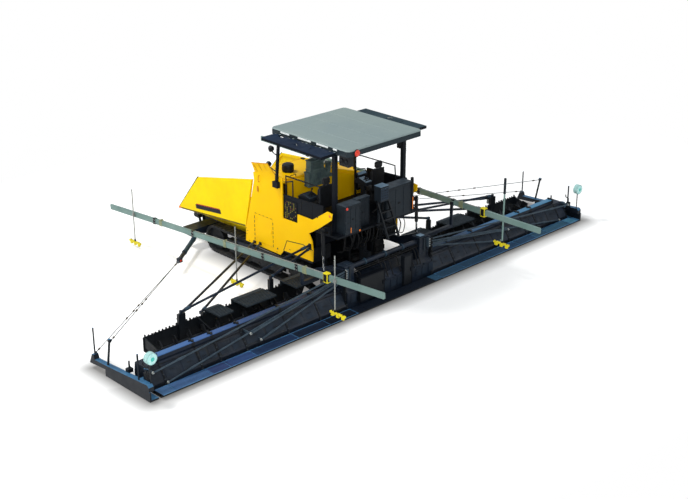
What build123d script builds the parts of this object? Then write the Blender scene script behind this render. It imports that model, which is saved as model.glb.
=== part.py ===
from build123d import *
from math import atan2, cos, pi, sin
import os

# Tracked asphalt paver with a wide bolt-on screed. Millimetres. X points to the machine's right, Y forward
# to the hopper, Z up. Lengths along Y are counted from the screed's rear edge; the finished pieces are
# moved back by ORIGIN_Y, so that the frame's origin lies on the ground in the middle of the levelling beams.
ORIGIN_Y = 3125

# Screed: a 3 m basic screed with bolt-on extension sections on each side.
BASIC_HALF = 1500
SECTION_ENDS = [1500, 2400, 3400, 4650, 5400, 5920, 6900, 7250]
SECTION_GAP = 8
SOLE_DEPTH = 930
SOLE_THICK = 34
WALK_HALF = 1200
GATE_IN, RAIL_IN, GATE_OUT = 7300, 7400, 7530

# Tractor.
PANEL_OUT = 1500
PANEL_THICK = 30
PANEL_IN = PANEL_OUT - PANEL_THICK
CHASSIS_HALF = 850
TUNNEL_HALF = 790
PLATFORM_Z = 1780
PLATFORM_REAR = 700
HOOD_HALF = 1308
HOOD_REAR, HOOD_HINGE_Y = 2664, 3636
HOOD_SKIN = 20

# Tracks.
TRACK_IN, TRACK_OUT = 1130, 1450
SPROCKET_Y, IDLER_Y = 2300, 5450
TRACK_R = 380
LUG = 30
BAND = 40
SHOES = 54

# Hopper wings turn about long hinge tubes beside the conveyors.
HINGE_X, HINGE_Z = 862, 624
HINGE_R = 32
HINGE_PIN_R = 16

# Push rollers, ahead of the front cross beam.
ROLLER_Y, ROLLER_Z = 7030, 500
PUSH_PIN_Y, PUSH_PIN_R = 6790, 45

# Screed lift turns about both tow points.
TOW_Y, TOW_Z = 4350, 600
TOW_PIN_R = 40
ARM_IN, ARM_OUT = 1516, 1576

# Lift cylinders hang outboard of the arms: the axes of their upper pins and of their rods' eyes.
LIFT_TOP = (1640, 1000, 1950)
LIFT_EYE = (1640, 970, 880)
LIFT_EYE_X = (1616, 1664)
PIN_R = 20

# Auger: flights of both hands on one line of shafts, with a bearing hanger between the lengths.
AUGER_Y, AUGER_Z = 1200, 360
AUGER_R = 230
AUGER_SHAFT_R = 50
AUGER_PITCH = 400
AUGER_REACH = 6500
FLIGHT_THICK = 14
FACETS_A_TURN = 8
PLATE_Y = (1600, 1624)
PLATE_TOP = 580

# Canopy.
ROOF_HALF = 1271
ROOF_REAR, ROOF_FRONT = 507, 3266
ROOF_LOW, ROOF_TOP = 3790, 3950
BEAM_LOW = 3700
FLAP_HINGE_X, FLAP_HINGE_Z = 1335, 3830
FLAP_OUT = 1800

# Levelling beams: ten and a half metres each; the left one hangs nose down.
BEAM_X = 2740
BEAM_REAR = -2125
BEAM_LENGTH = 10500
BEAM_DEPTH = 140
BEAM_PIVOT_Y = 660
BEAM_REAR_Z = 1620
BEAM_WIDTH = 60
BEAM_DROP = {-1: 760, 1: 0}


def box(x, y, z):
    """A block between two limits on each axis."""
    size = [high - low for low, high in (x, y, z)]
    middle = [(high + low) / 2 for low, high in (x, y, z)]
    return Pos(*middle) * Box(*size)


def side_plate(outline, x):
    """A plate whose outline is given as (y, z) points, between two x limits."""
    face = make_face(Polyline(*outline, close=True))
    return extrude(Plane.YZ.offset(x[0]) * face, x[1] - x[0])


def cross_plate(outline, y):
    """A plate whose outline is given as (x, z) points, between two y limits."""
    face = make_face(Polyline(*outline, close=True))
    return extrude(Plane.XZ.offset(-y[0]) * face, y[0] - y[1])


def sheet(corners, drop):
    """A flat sheet through its corners, thickened by the vector drop."""
    face = make_face(Polyline(*corners, close=True))
    return extrude(face, abs(Vector(*drop)), dir=Vector(*drop).normalized())


def rod(start, end, radius, flats=8):
    """A bar from one point to another, with flats round it, or round where flats is 0."""
    start, end = Vector(*start), Vector(*end)
    along = end - start
    plane = Plane(origin=start, z_dir=along.normalized())
    profile = RegularPolygon(radius, flats) if flats else Circle(radius)
    return extrude(plane * profile, along.length)


def bar(start, end, width, height):
    """A square bar from one point to another, its width level."""
    start, end = Vector(*start), Vector(*end)
    along = end - start
    level = along.cross(Vector(0, 0, 1)).normalized()
    plane = Plane(origin=start, x_dir=level, z_dir=along.normalized())
    return plane * Box(width, height, along.length, align=(Align.CENTER, Align.CENTER, Align.MIN))


def wheel_x(y, z, radius, x, flats=12):
    """A wheel or pin about the X axis."""
    return rod((x[0], y, z), (x[1], y, z), radius, flats)


def wheel_z(x, y, radius, z, flats=12):
    """An upright pin or disc."""
    return rod((x, y, z[0]), (x, y, z[1]), radius, flats)


def span(side, low, high):
    """Two x limits on the given side of the machine, lowest first."""
    return tuple(sorted((side * low, side * high)))


def mirrored(shape):
    return mirror(shape, Plane.YZ)


def both(shape):
    """The piece and its mirror image, as separate solids of one node."""
    return Compound([*shape.solids(), *mirrored(shape).solids()])


def group(*shapes):
    """Separate solids that share a node."""
    return Compound([solid for shape in shapes for solid in shape.solids()])


nodes = {}


# ---------------------------------------------------------------- tracks and chassis
def slot_outline(rear, front, middle, radius, flats):
    """A long slot with flats round both ends, as (y, z) points."""
    points = []
    for y, first in ((front, -pi / 2), (rear, pi / 2)):
        for step in range(flats + 1):
            turn = first + step * pi / flats
            points.append((y + radius * cos(turn), middle + radius * sin(turn)))
    return points


def track_loop():
    """One track as a closed band whose shoes stand out of its outline."""
    straight = IDLER_Y - SPROCKET_Y
    band_r = TRACK_R - LUG
    arc = pi * band_r
    pitch = (2 * straight + 2 * arc) / SHOES

    def at(distance, radius):
        distance %= 2 * straight + 2 * arc
        if distance < straight:
            return SPROCKET_Y + distance, TRACK_R - radius
        distance -= straight
        if distance < arc:
            turn = distance / band_r - pi / 2
            return IDLER_Y + radius * cos(turn), TRACK_R + radius * sin(turn)
        distance -= arc
        if distance < straight:
            return IDLER_Y - distance, TRACK_R + radius
        turn = (distance - straight) / band_r + pi / 2
        return SPROCKET_Y + radius * cos(turn), TRACK_R + radius * sin(turn)

    outline = []
    for shoe in range(SHOES):
        start = shoe * pitch
        for share, radius in ((0.06, band_r), (0.12, TRACK_R), (0.88, TRACK_R), (0.94, band_r)):
            outline.append(at(start + share * pitch, radius))
    hole = slot_outline(SPROCKET_Y, IDLER_Y, TRACK_R, band_r - BAND, 9)
    return side_plate(outline, (TRACK_IN, TRACK_OUT)) - side_plate(hole, (TRACK_IN - 1, TRACK_OUT + 1))


def cog(y, z, root, tip, teeth, x):
    """A toothed wheel about the X axis."""
    outline = []
    for tooth in range(teeth):
        for share, radius in ((0.0, root), (0.3, root), (0.45, tip), (0.7, tip)):
            turn = 2 * pi * (tooth + share) / teeth
            outline.append((y + radius * cos(turn), z + radius * sin(turn)))
    return side_plate(outline, x)


ROLLER_PLACES = [3060 + 540 * place for place in range(4)]


def track_frame():
    """The right-hand frame with its sprocket, idler and rollers, carried by two cross boxes."""
    inner_r = TRACK_R - LUG - BAND
    frame = box((1190, 1390), (2750, 5000), (330, 500))
    for y in (3050, 4650):
        frame += box((CHASSIS_HALF, 1190), (y - 160, y + 160), (330, 480))
    frame += wheel_x(SPROCKET_Y, TRACK_R, 170, (CHASSIS_HALF, 1230))
    frame += cog(SPROCKET_Y, TRACK_R, inner_r - 50, inner_r - 6, 9, (1230, 1350))
    for x in ((1192, 1216), (1364, 1388)):
        frame += box(x, (4990, IDLER_Y + 60), (TRACK_R - 60, TRACK_R + 60))
        frame += box(x, (2850, 4900), (160, 340))
    frame += box((1216, 1364), (2450, 2780), (350, 470))
    frame += wheel_x(IDLER_Y, TRACK_R, inner_r - 6, (1216, 1364))
    for y in ROLLER_PLACES:
        frame += wheel_x(y, 187, 110, (1216, 1364), 8)
    return frame


TOW_BRACKET_X = (1456, 1498)


def chassis():
    """A trough between the tracks: the conveyors run in it and the engine stands over it."""
    trough = box((-CHASSIS_HALF, CHASSIS_HALF), (1750, 6640), (300, 560))
    for x in ((-TUNNEL_HALF, -30), (30, TUNNEL_HALF)):
        trough -= box(x, (1700, 6700), (440, 1300))
        trough -= box(x, (1700, 6700), (320, 400))
        for y in ((1700, 1880), (6470, 6700)):
            trough -= box(x, y, (320, 460))
    body = trough
    for side in (-1, 1):
        body += box(span(side, TUNNEL_HALF, CHASSIS_HALF), (1750, 3800), (550, 1250))
        deck = span(side, CHASSIS_HALF, PANEL_IN)
        body += box(deck, (1560, 3990), (860, 900))
        for y in (1560, 3950):
            body += box(deck, (y, y + 40), (890, 1250))
    body += box((-30, 30), (1750, 3800), (550, 1250))
    body += box((-TUNNEL_HALF, TUNNEL_HALF), (1750, 3800), (1210, 1250))
    # Tow pins stand out of bracket plates that hang from the decks, outside the tracks.
    for side in (-1, 1):
        body += box(span(side, 1456, 1468), (3650, 3990), (740, 870))
        body += box(span(side, *TOW_BRACKET_X), (3650, TOW_Y + 110), (TOW_Z - 80, 748))
        body += wheel_x(TOW_Y, TOW_Z, TOW_PIN_R, span(side, 1480, 1590), 0)
    # Front cross beam, with the towing frame that the push beam turns in.
    body += box((-CHASSIS_HALF, CHASSIS_HALF), (6640, 6700), (300, 420))
    body += box((-140, 140), (6700, 6780), (320, 420))
    body += wheel_z(0, PUSH_PIN_Y, PUSH_PIN_R, (300, 600))
    # Ends of the wings' hinge tubes.
    ends = [
        # y limits, lowest z, pin y limits
        ((4066, 4095), 540, (4090, 4130)),
        ((6655, 6680), 400, (6620, 6660)),
    ]
    for side in (-1, 1):
        for y, low, pin in ends:
            body += box(span(side, 800, 898), y, (low, 660))
            body += rod((side * HINGE_X, pin[0], HINGE_Z), (side * HINGE_X, pin[1], HINGE_Z), HINGE_PIN_R, 12)
    for x, y, z in LASHING_EYES:
        body += lashing_eye(x, y, z)
    return body


# Lashing eyes: the middles of their bores, which run along X.
EYE_BORE_R = 25
EYE_THICK = 30
LASHING_EYES = [(-600, 6750, 360), (600, 6750, 360)]


def lashing_eye(x, y, z):
    """A plate welded to the chassis, with a bore for a shackle."""
    limits = (x - EYE_THICK / 2, x + EYE_THICK / 2)
    outline = [
        (y - 60, z - 50), (y + 20, z - 50), (y + 50, z - 20),
        (y + 50, z + 20), (y + 20, z + 50), (y - 60, z + 50),
    ]
    plate = side_plate(outline, limits)
    return plate - wheel_x(y, z, EYE_BORE_R, limits, 0)


def conveyor(side):
    """One slat conveyor: two chains round two drums, with slats across them."""
    front, rear, middle = 6550, 1790, 420
    chain_r, link = 52, 12
    slats, pitch = 7, 690
    whole = None
    for x in ((90, 120), (720, 750)):
        chain = side_plate(slot_outline(rear, front, middle, chain_r + link, 4), x)
        chain -= side_plate(slot_outline(rear, front, middle, chain_r, 4), (x[0] - 1, x[1] + 1))
        whole = chain if whole is None else whole + chain
    for place in range(slats):
        y = rear + 130 + place * pitch
        whole += box((66, 774), (y, y + 40), (middle + chain_r + link, middle + chain_r + link + 28))
    for y in (front, rear):
        whole += wheel_x(y, middle, chain_r, (66, 774), 8)
    return whole if side > 0 else mirrored(whole)


nodes["track_right"] = track_loop()
nodes["track_left"] = mirrored(nodes["track_right"])
nodes["track_frames"] = both(track_frame())
nodes["chassis"] = chassis()
nodes["conveyors"] = group(conveyor(1), conveyor(-1))


# ---------------------------------------------------------------- hopper
WALL_IN, RIM = 1470, 60
WING_REAR, WING_FRONT = (4070, 1150), (6940, 890)
WING_TOP_FRONT = (6000, 2000)
WING_TOP_REAR = {-1: (3770, 2500), 1: (3837, 2200)}
FLOOR_THICK = 34


def hopper_wing(side):
    """A wing: outer wall with a folded rim, floor bent along its diagonal, ribs and hinge tube."""
    outline = [WING_TOP_REAR[side], WING_TOP_FRONT, WING_FRONT, WING_REAR]
    wall = side_plate(outline, (PANEL_OUT - RIM, PANEL_OUT))
    inset = make_face(Polyline(*outline, close=True))
    inset = offset(inset, -RIM)
    wall -= extrude(Plane.YZ.offset(PANEL_OUT - RIM - 1) * inset, WALL_IN - (PANEL_OUT - RIM) + 1)
    for y in (4550, 5350):
        rib = box((WALL_IN - 24, WALL_IN + 5), (y, y + 40), (WING_FRONT[1], 2600))
        wall += rib & side_plate(outline, (WALL_IN - 24, WALL_IN + 5))
    hinge_rear = (HINGE_X, 4110, HINGE_Z)
    hinge_front = (HINGE_X, 6620, HINGE_Z)
    wall_rear, wall_front = [(PANEL_OUT - 20, y, z + 25) for y, z in (WING_REAR, WING_FRONT)]
    floor = sheet((hinge_rear, wall_rear, hinge_front), (0, 0, -FLOOR_THICK))
    floor += sheet((wall_rear, wall_front, hinge_front), (0, 0, -FLOOR_THICK))
    wing = wall + floor + rod(hinge_rear, (HINGE_X, 6640, HINGE_Z), HINGE_R, 12)
    wing -= rod((HINGE_X, 4050, HINGE_Z), (HINGE_X, 6700, HINGE_Z), HINGE_PIN_R + 6, 12)
    return wing if side > 0 else mirrored(wing)


def hopper_back():
    """The slanted rear wall of the hopper, with the conveyor openings under it; its top follows the hood."""
    outline = [
        (3710, 2500), (4062, 1150), (4062, 600), (4022, 600), (4022, 1140), (3670, 2500), (3690, 2710),
        (3730, 2710),
    ]
    wall = side_plate(outline, (-PANEL_IN, PANEL_IN))
    wall -= box((-TUNNEL_HALF, TUNNEL_HALF), (3600, 4100), (500, 1100))
    wall -= cross_plate([(100, 2720), (PANEL_OUT, 2250), (PANEL_OUT, 2800), (100, 2800)], (3600, 4100))
    under_wing = cross_plate([(HINGE_X, 500), (HINGE_X, 600), (1500, 1120), (1500, 500)], (3900, 4100))
    return wall - under_wing - mirrored(under_wing)


nodes["hopper_wing_right"] = hopper_wing(1)
nodes["hopper_wing_left"] = hopper_wing(-1)
nodes["hopper_back"] = hopper_back()


def push_beam():
    """The beam that swings on the front pin and carries the two push rollers."""
    beam = box((-900, 900), (6850, 6920), (440, 560))
    beam += box((-110, 110), (6740, 6860), (506, 560))
    beam += wheel_z(0, PUSH_PIN_Y, 90, (506, 560))
    for x in ((-890, -860), (-25, 25), (860, 890)):
        beam += side_plate([(6915, 440), (7040, 440), (7080, 470), (7080, 530), (7040, 560), (6915, 560)], x)
    beam -= wheel_z(0, PUSH_PIN_Y, PUSH_PIN_R + 10, (500, 570), 8)
    return beam - wheel_x(ROLLER_Y, ROLLER_Z, 30, (-900, 900), 8)


def push_roller():
    roller = wheel_x(ROLLER_Y, ROLLER_Z, 88, (34, 851), 16)
    return roller + wheel_x(ROLLER_Y, ROLLER_Z, PIN_R, (3, 885), 8)


nodes["push_beam"] = push_beam()
nodes["push_roller_right"] = push_roller()
nodes["push_roller_left"] = mirrored(nodes["push_roller_right"])


# ---------------------------------------------------------------- body
DOOR_Y = (2990, 3690)
DOOR_Z = (880, 1630)
DOOR_GAP = 8
PANEL_LOWER = [
    (4070, 760), (2710, 760), (2590, 920), (1520, 940), (1510, 1240), (1540, 1470), (1650, 1650),
    (1280, 1880), (860, 2200), (830, 2370), (1000, 2390), (1530, 2030), (2050, 2030), (2060, 1790),
]
PANEL_UPPER = {
    -1: [(2600, 1780), (2600, 2830), (3100, 2870), (3630, 2740), (3700, 2710), (3670, 2510), (4040, 1150)],
    1: [(3100, 1780), (3100, 2270), (3735, 2270), (4040, 1150)],
}
EAR_SHEETS = [
    [(1500, 3630, 2740), (1500, 3100, 2870), (1620, 3620, 3030)],
    [(1500, 3100, 2870), (1620, 3000, 3140), (1620, 3620, 3030)],
    [(1500, 3100, 2870), (1500, 2840, 2850), (1620, 3000, 3140)],
]


def side_panel(side):
    """A body side; only the left one reaches up beside the hood, where it flares out into an ear."""
    outline = PANEL_LOWER + PANEL_UPPER[side]
    panel = side_plate(outline, (PANEL_IN, PANEL_OUT))
    panel -= box((PANEL_IN - 20, PANEL_OUT + 20), DOOR_Y, DOOR_Z)
    if side < 0:
        panel += box((1320, PANEL_IN + 5), (2600, 3640), (2690, 2720))
        for corners in EAR_SHEETS:
            panel += sheet(corners, (-14, 0, 0))
        return mirrored(panel)
    return panel + box((1320, PANEL_IN + 5), (3100, 3640), (2230, 2260))


def side_door():
    y = (DOOR_Y[0] + DOOR_GAP, DOOR_Y[1] - DOOR_GAP)
    z = (DOOR_Z[0] + DOOR_GAP, DOOR_Z[1] - DOOR_GAP)
    return box((PANEL_IN, PANEL_OUT), y, z)


# The hood's top falls away to the right: (x, z) along its upper face.
HOOD_LINE = [(-HOOD_HALF, 2740), (100, 2720), (HOOD_HALF, 2310)]
HOOD_DEPTH = 130


def hood():
    """A hollow lid over the engine, hinged at the front edge of its higher half."""
    lower = [(x, z - HOOD_DEPTH) for x, z in reversed(HOOD_LINE)]
    lid = cross_plate(HOOD_LINE + lower, (HOOD_REAR, HOOD_HINGE_Y))
    inner_half = HOOD_HALF - HOOD_SKIN
    inner = [(-inner_half, 2740 - HOOD_SKIN), (97, 2720 - HOOD_SKIN), (inner_half, 2317 - HOOD_SKIN)]
    inner += [(x, z - HOOD_DEPTH) for x, z in reversed(inner)]
    return lid - cross_plate(inner, (HOOD_REAR + HOOD_SKIN, HOOD_HINGE_Y - HOOD_SKIN))


def engine_housing():
    outline = [(-1300, 1250), (-1300, 2700), (100, 2640), (1300, 2200), (1300, 1250)]
    return cross_plate(outline, (2600, 2640))


nodes["side_panels"] = group(side_panel(-1), side_panel(1))
nodes["side_door_right"] = side_door()
nodes["side_door_left"] = mirrored(nodes["side_door_right"])
nodes["hood"] = hood()
nodes["engine_wall"] = engine_housing()
nodes["engine"] = box((-450, 450), (2780, 3560), (1250, 2140))
DUCT_OUTLINE = [
    (-760, 2440), (-180, 2440), (-180, 2760), (-260, 2840),
    (-260, 3120), (-700, 3120), (-700, 2840), (-760, 2800),
]
nodes["exhaust_duct"] = cross_plate(DUCT_OUTLINE, (2420, 2600))


# ---------------------------------------------------------------- platform
SIDE_WALL_X = (1430, 1460)


def platform():
    floor = box((-1435, 1435), (PLATFORM_REAR, 2596), (PLATFORM_Z - 50, PLATFORM_Z))
    for y in (1600, 2540):
        floor += box((-1300, 1300), (y, y + 40), (1250, PLATFORM_Z - 40))
    wall = side_plate([(1170, 1730), (2596, 1730), (2596, 2400), (1170, 2470)], SIDE_WALL_X)
    _, pin_y, pin_z = LIFT_TOP
    for side in (-1, 1):
        floor += wall if side > 0 else mirrored(wall)
        floor += box(span(side, 1430, 1562), (pin_y - 40, pin_y + 40), (pin_z - 50, pin_z + 50))
        floor += box(span(side, 1400, 1435), (pin_y - 40, pin_y + 40), (PLATFORM_Z, pin_z + 50))
        floor += wheel_x(pin_y, pin_z, PIN_R, span(side, 1550, LIFT_EYE_X[1] + 10))
    return floor


def rail(points, radius=17):
    """A six-sided tube with mitred corners."""
    path = Polyline(*points)
    start = Plane(origin=path @ 0, z_dir=path % 0)
    return sweep(start * RegularPolygon(radius, 6), path, transition=Transition.RIGHT)


def handrails():
    low, x = 2330, 1408
    left = rail([(-x, 2560, low), (-x, 2560, 2880), (-x, 1340, 2900), (-x, 1340, low)])
    left += rail([(-x, 2560, 2720), (-x, 2310, 2800), (-x, 2310, low)])
    for y in (2560, 2310, 1340):
        left += box((-SIDE_WALL_X[0], -x), (y - 20, y + 20), (low, low + 60))
    right = rail([(1360, 2903, 2700), (1360, 2680, 2730), (1360, 1510, 2750), (1360, 1470, low)])
    right += box((1350, SIDE_WALL_X[0]), (1450, 1490), (low, low + 50))
    right += box((1330, 1390), (2900, 2930), (2670, 2730))
    return group(left, right, ladder())


def ladder():
    """The ladder between the cabinets leans back from the platform's rear edge."""
    top, bottom = (640, 2400), (240, 1520)
    whole = None
    for x in (-170, 200):
        stile = bar((x, *bottom), (x, *top), 36, 50)
        whole = stile if whole is None else whole + stile
        whole += box((x - 15, x + 15), (330, PLATFORM_REAR), (PLATFORM_Z - 40, PLATFORM_Z - 10))
    for step in range(4):
        share = 0.1 + 0.2 * step
        y = bottom[0] + share * (top[0] - bottom[0])
        z = bottom[1] + share * (top[1] - bottom[1])
        whole += box((-180, 210), (y - 30, y + 30), (z - 12, z + 12))
    return whole


SEAT_X = 910


def seat():
    base = box((SEAT_X - 150, SEAT_X + 150), (1720, 2050), (PLATFORM_Z, 2150))
    cushion = box((SEAT_X - 230, SEAT_X + 230), (1680, 2180), (2150, 2270))
    back = side_plate([(1660, 2270), (1780, 2270), (1720, 2760), (1620, 2760)], (SEAT_X - 220, SEAT_X + 220))
    head = side_plate([(1630, 2760), (1700, 2760), (1690, 2950), (1620, 2950)], (SEAT_X - 110, SEAT_X + 110))
    return base + cushion + back + head


CONSOLES = [
    # middle of the desk along X and Y, its half width, and its stand's x limits
    (-1200, 1970, 150, (-1290, -1230)),
    (565, 1850, 105, (530, 590)),
]


def consoles():
    pieces = []
    for x, y, half, stand in CONSOLES:
        outline = [(y - 200, 2380), (y + 190, 2380), (y + 230, 2440), (y + 60, 2540), (y - 200, 2470)]
        desk = side_plate(outline, (x - half, x + half))
        pieces.append(desk + box(stand, (y - 60, y + 60), (PLATFORM_Z, 2380)))
    return group(*pieces)


CABINETS = [
    # x limits, y limits, top
    ((-1180, -664), (700, 1000), 2500),
    ((-656, -210), (860, 1000), 2510),
    ((240, 1120), (700, 1000), 2600),
]


def cabinets():
    pieces = []
    for x, y, top in CABINETS:
        body = box(x, y, (PLATFORM_Z, top - 40))
        pieces.append(body + box((x[0] - 8, x[1] + 8), (y[0] - 8, y[1]), (top - 40, top)))
    control = box((-140, 130), (540, 760), (2390, 2770)) + box((-40, 20), (710, 760), (PLATFORM_Z, 2400))
    return group(*pieces, control)


nodes["platform"] = platform()
nodes["handrails"] = handrails()
nodes["seats"] = both(seat())
nodes["consoles"] = consoles()
nodes["rear_cabinets"] = cabinets()


# ---------------------------------------------------------------- canopy
POST_REAR = ((1130, 1230), (1010, 1110))
POST_LEFT_FOOT, POST_LEFT_TOP = (-1538, 2770), (-1516, 2690)
POST_RIGHT = (1360, 2960)
POST_WIDTH = 60


def canopy_posts():
    """Two rear posts, and two front ones: the left stands on a foot block outside the body."""
    rear = box(*POST_REAR, (PLATFORM_Z, BEAM_LOW))
    profile = Rectangle(POST_WIDTH, POST_WIDTH)
    foot_z = 2620
    left = loft([Pos(*POST_LEFT_FOOT, foot_z) * profile, Pos(*POST_LEFT_TOP, BEAM_LOW) * profile], ruled=True)
    left += box((-1590, -PANEL_OUT), (2680, 2870), (2560, 2710))
    half = POST_WIDTH / 2
    x, y = POST_RIGHT
    right = box((x - half, x + half), (y - half, y + half), (1690, BEAM_LOW))
    right += box((x - half, PANEL_IN), (y - half, y + half), (1640, 1700))
    return group(both(rear), left, right)


def canopy_roof():
    roof = box((-ROOF_HALF, ROOF_HALF), (ROOF_REAR, ROOF_FRONT), (ROOF_LOW, ROOF_TOP))
    roof = chamfer(roof.edges().filter_by(Axis.Z), 70)
    roof = chamfer(roof.faces().sort_by(Axis.Z)[-1].edges(), 28)
    link_z = (BEAM_LOW, 3760)
    roof += box((-1240, 1240), (1000, 1120), (BEAM_LOW, ROOF_LOW + 5))
    roof += box((-1240, 1240), (2640, 2740), (BEAM_LOW, ROOF_LOW + 5))
    roof += box((-1530, -1230), (2640, 2740), link_z)
    roof += box((1130, 1230), (2730, 3000), (BEAM_LOW, ROOF_LOW + 5))
    roof += box((1220, 1400), (2915, 3005), link_z)
    for side in (-1, 1):
        for place in range(5):
            y = 930 + place * 480
            roof += box(span(side, ROOF_HALF - 10, FLAP_HINGE_X - 8), (y, y + 60), (3812, 3840))
    return roof


def canopy_flap():
    """A side flap with its hinge pin carried on five knuckles."""
    flap = box((1345, FLAP_OUT), (850, 3000), (3790, 3858))
    flap -= box((1340, 1450), (2600, 2800), (3780, 3870))
    flap = chamfer(flap.faces().sort_by(Axis.X)[-1].edges(), 12)
    for place in range(5):
        y = 1010 + place * 480
        flap += box((FLAP_HINGE_X - 8, 1350), (y, y + 50), (3822, 3838))
    return flap


nodes["canopy_posts"] = canopy_posts()
nodes["canopy_roof"] = canopy_roof()
nodes["canopy_flap_right"] = canopy_flap()
nodes["canopy_flap_left"] = mirrored(nodes["canopy_flap_right"])


# ---------------------------------------------------------------- auger
HANGER_X = [1700, 3400, 5000]
HANGER_GAP = 50
FLIGHT_START = 130


def flight(start, steps):
    """A helical blade of flat facets; its inner edge lies on the corners of the shaft."""
    section = [(0, AUGER_SHAFT_R), (0, AUGER_R), (FLIGHT_THICK, AUGER_R), (FLIGHT_THICK, AUGER_SHAFT_R)]
    rings = []
    for step in range(steps + 1):
        turn = 2 * pi * step / FACETS_A_TURN
        x = start + AUGER_PITCH * step / FACETS_A_TURN
        ring = []
        for depth, radius in section:
            ring.append((x + depth, AUGER_Y + radius * cos(turn), AUGER_Z + radius * sin(turn)))
        rings.append(ring)
    faces = [make_face(Polyline(*ring, close=True)).face() for ring in (rings[0], rings[-1])]
    for low, high in zip(rings[:-1], rings[1:]):
        for here, after in ((0, 1), (1, 2), (2, 3), (3, 0)):
            corners = (low[here], low[after], high[after], high[here])
            if here in (1, 3):
                faces.append(make_face(Polyline(*corners, close=True)).face())
            else:
                faces.append(make_face(Polyline(*corners[:3], close=True)).face())
                faces.append(make_face(Polyline(corners[0], *corners[2:], close=True)).face())
    return Solid(Shell(faces))


def auger():
    """A shaft with a helical flight between each pair of bearings."""
    corners = [2 * pi * corner / FACETS_A_TURN for corner in range(FACETS_A_TURN)]
    profile = [(AUGER_Y + AUGER_SHAFT_R * cos(turn), AUGER_Z + AUGER_SHAFT_R * sin(turn)) for turn in corners]
    whole = side_plate(profile, (66, AUGER_REACH))
    starts = [FLIGHT_START] + [x + HANGER_GAP for x in HANGER_X]
    stops = [x - HANGER_GAP for x in HANGER_X] + [AUGER_REACH - HANGER_GAP]
    for start, stop in zip(starts, stops):
        steps = int((stop - start - FLIGHT_THICK) * FACETS_A_TURN / AUGER_PITCH)
        whole += flight(start, steps)
    return whole


STRUTS = [
    # outer end on the retaining plates, inner end on the tractor's side, and where the outer end is seated
    ((5400, 1674, 790), (1517, 3700, 830), "front"),
    ((4850, 1680, 620), (1517, 3480, 845), "front"),
    ((5470, 1600, 870), (1517, 1600, 1360), "top"),
    ((2800, 1600, 900), (1517, 1600, 1280), "top"),
]
STRUT_R = 32
PLATE_POSTS = [(5370, 5560, 830), (2740, 2860, 850), (4810, 4890, 650)]
POST_FRONT = 1640


def auger_frame():
    """The middle gearbox with its arm; the retaining plates on both sides with the bearing hangers."""
    gearbox = box((-55, 55), (1040, 1360), (200, 900)) + box((-55, 55), (1200, 1750), (900, 1240))
    outline = [(1700, 330), (1800, 140), (6420, 140), (6520, 240), (6520, PLATE_TOP), (1700, PLATE_TOP)]
    plate = cross_plate(outline, PLATE_Y)
    for low, high, top in PLATE_POSTS:
        plate += box((low, high), (1560, POST_FRONT), (200, top))
    hanger = [(PLATE_Y[0], 330), (PLATE_Y[0], PLATE_TOP), (1260, 480), (1130, 440), (1110, 300), (1240, 260)]
    for x in HANGER_X + [AUGER_REACH - 15]:
        plate += side_plate(hanger, (x - 12, x + 12))
    plate -= wheel_x(AUGER_Y, AUGER_Z, AUGER_SHAFT_R + 14, (1600, 6600), 8)
    return group(gearbox, both(plate))


GRATINGS = [
    # x limits, y limits
    ((1750, 2500), (1010, 1500)),
    ((3120, 4020), (1020, 1530)),
    ((4390, 4800), (1050, 1540)),
]


def auger_gratings():
    pieces = []
    for x, y in GRATINGS:
        tray = box(x, (y[0], y[1]), (692, 720)) + box(x, (y[1], PLATE_Y[0] + 12), (708, 720))
        tray += box(x, (PLATE_Y[0], PLATE_Y[0] + 12), (PLATE_TOP, 720))
        pieces.append(both(tray))
    return group(*pieces)


def auger_struts():
    pieces = []
    for outer, inner, seat_on in STRUTS:
        x, y, z = outer
        _, in_y, in_z = inner
        piece = rod(outer, inner, STRUT_R, 6)
        piece += box((PANEL_OUT, PANEL_OUT + 34), (in_y - 38, in_y + 38), (in_z - 34, in_z + 34))
        if seat_on == "front":
            piece += box((x - 28, x + 28), (POST_FRONT, y + 30), (z - 38, z + 38))
        else:
            top = {5470: 830, 2800: 850}[x]
            piece += box((x - 28, x + 28), (1572, 1628), (top, z + 36))
        pieces.append(both(piece))
    return group(*pieces)


nodes["auger_right"] = auger()
nodes["auger_left"] = mirrored(nodes["auger_right"])
nodes["auger_frame"] = auger_frame()
nodes["auger_gratings"] = auger_gratings()
nodes["auger_struts"] = auger_struts()


def outrigger():
    """A stay arm on a box across the front, with a clamp at its tip."""
    arm = box((CHASSIS_HALF, 1800), (5960, 6360), (380, 580))
    arm += rod((1700, 5990, 350), (3000, 5000, 330), 55)
    return arm + box((2900, 3010), (4960, 5070), (290, 400))


nodes["outriggers"] = both(outrigger())


# ---------------------------------------------------------------- screed
def sections(ends):
    """The x limits of each bolted section, with the gaps between them."""
    return [(low + SECTION_GAP / 2, high - SECTION_GAP / 2) for low, high in zip(ends[:-1], ends[1:])]


def sole_plates():
    middle = box((4 - BASIC_HALF, BASIC_HALF - 4), (0, SOLE_DEPTH), (0, SOLE_THICK))
    return group(middle, *[both(box(x, (0, SOLE_DEPTH), (0, SOLE_THICK))) for x in sections(SECTION_ENDS)])


TOWER = ((1160, 1480), (420, 680), (500, 1120))


def screed_frame():
    """The basic screed: a deep box with a tower at each end and a cross tube between them."""
    outline = [(300, SOLE_THICK), (300, 480), (420, 580), (900, 580), (930, 300), (930, SOLE_THICK)]
    body = side_plate(outline, (4 - BASIC_HALF, BASIC_HALF - 4))
    for side in (-1, 1):
        body += box(span(side, *TOWER[0]), *TOWER[1:])
    return body + rod((-1165, 550, 1000), (1165, 550, 1000), 60, 12)


REAR_FACE = [(300, 160), (540, 520)]


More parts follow.
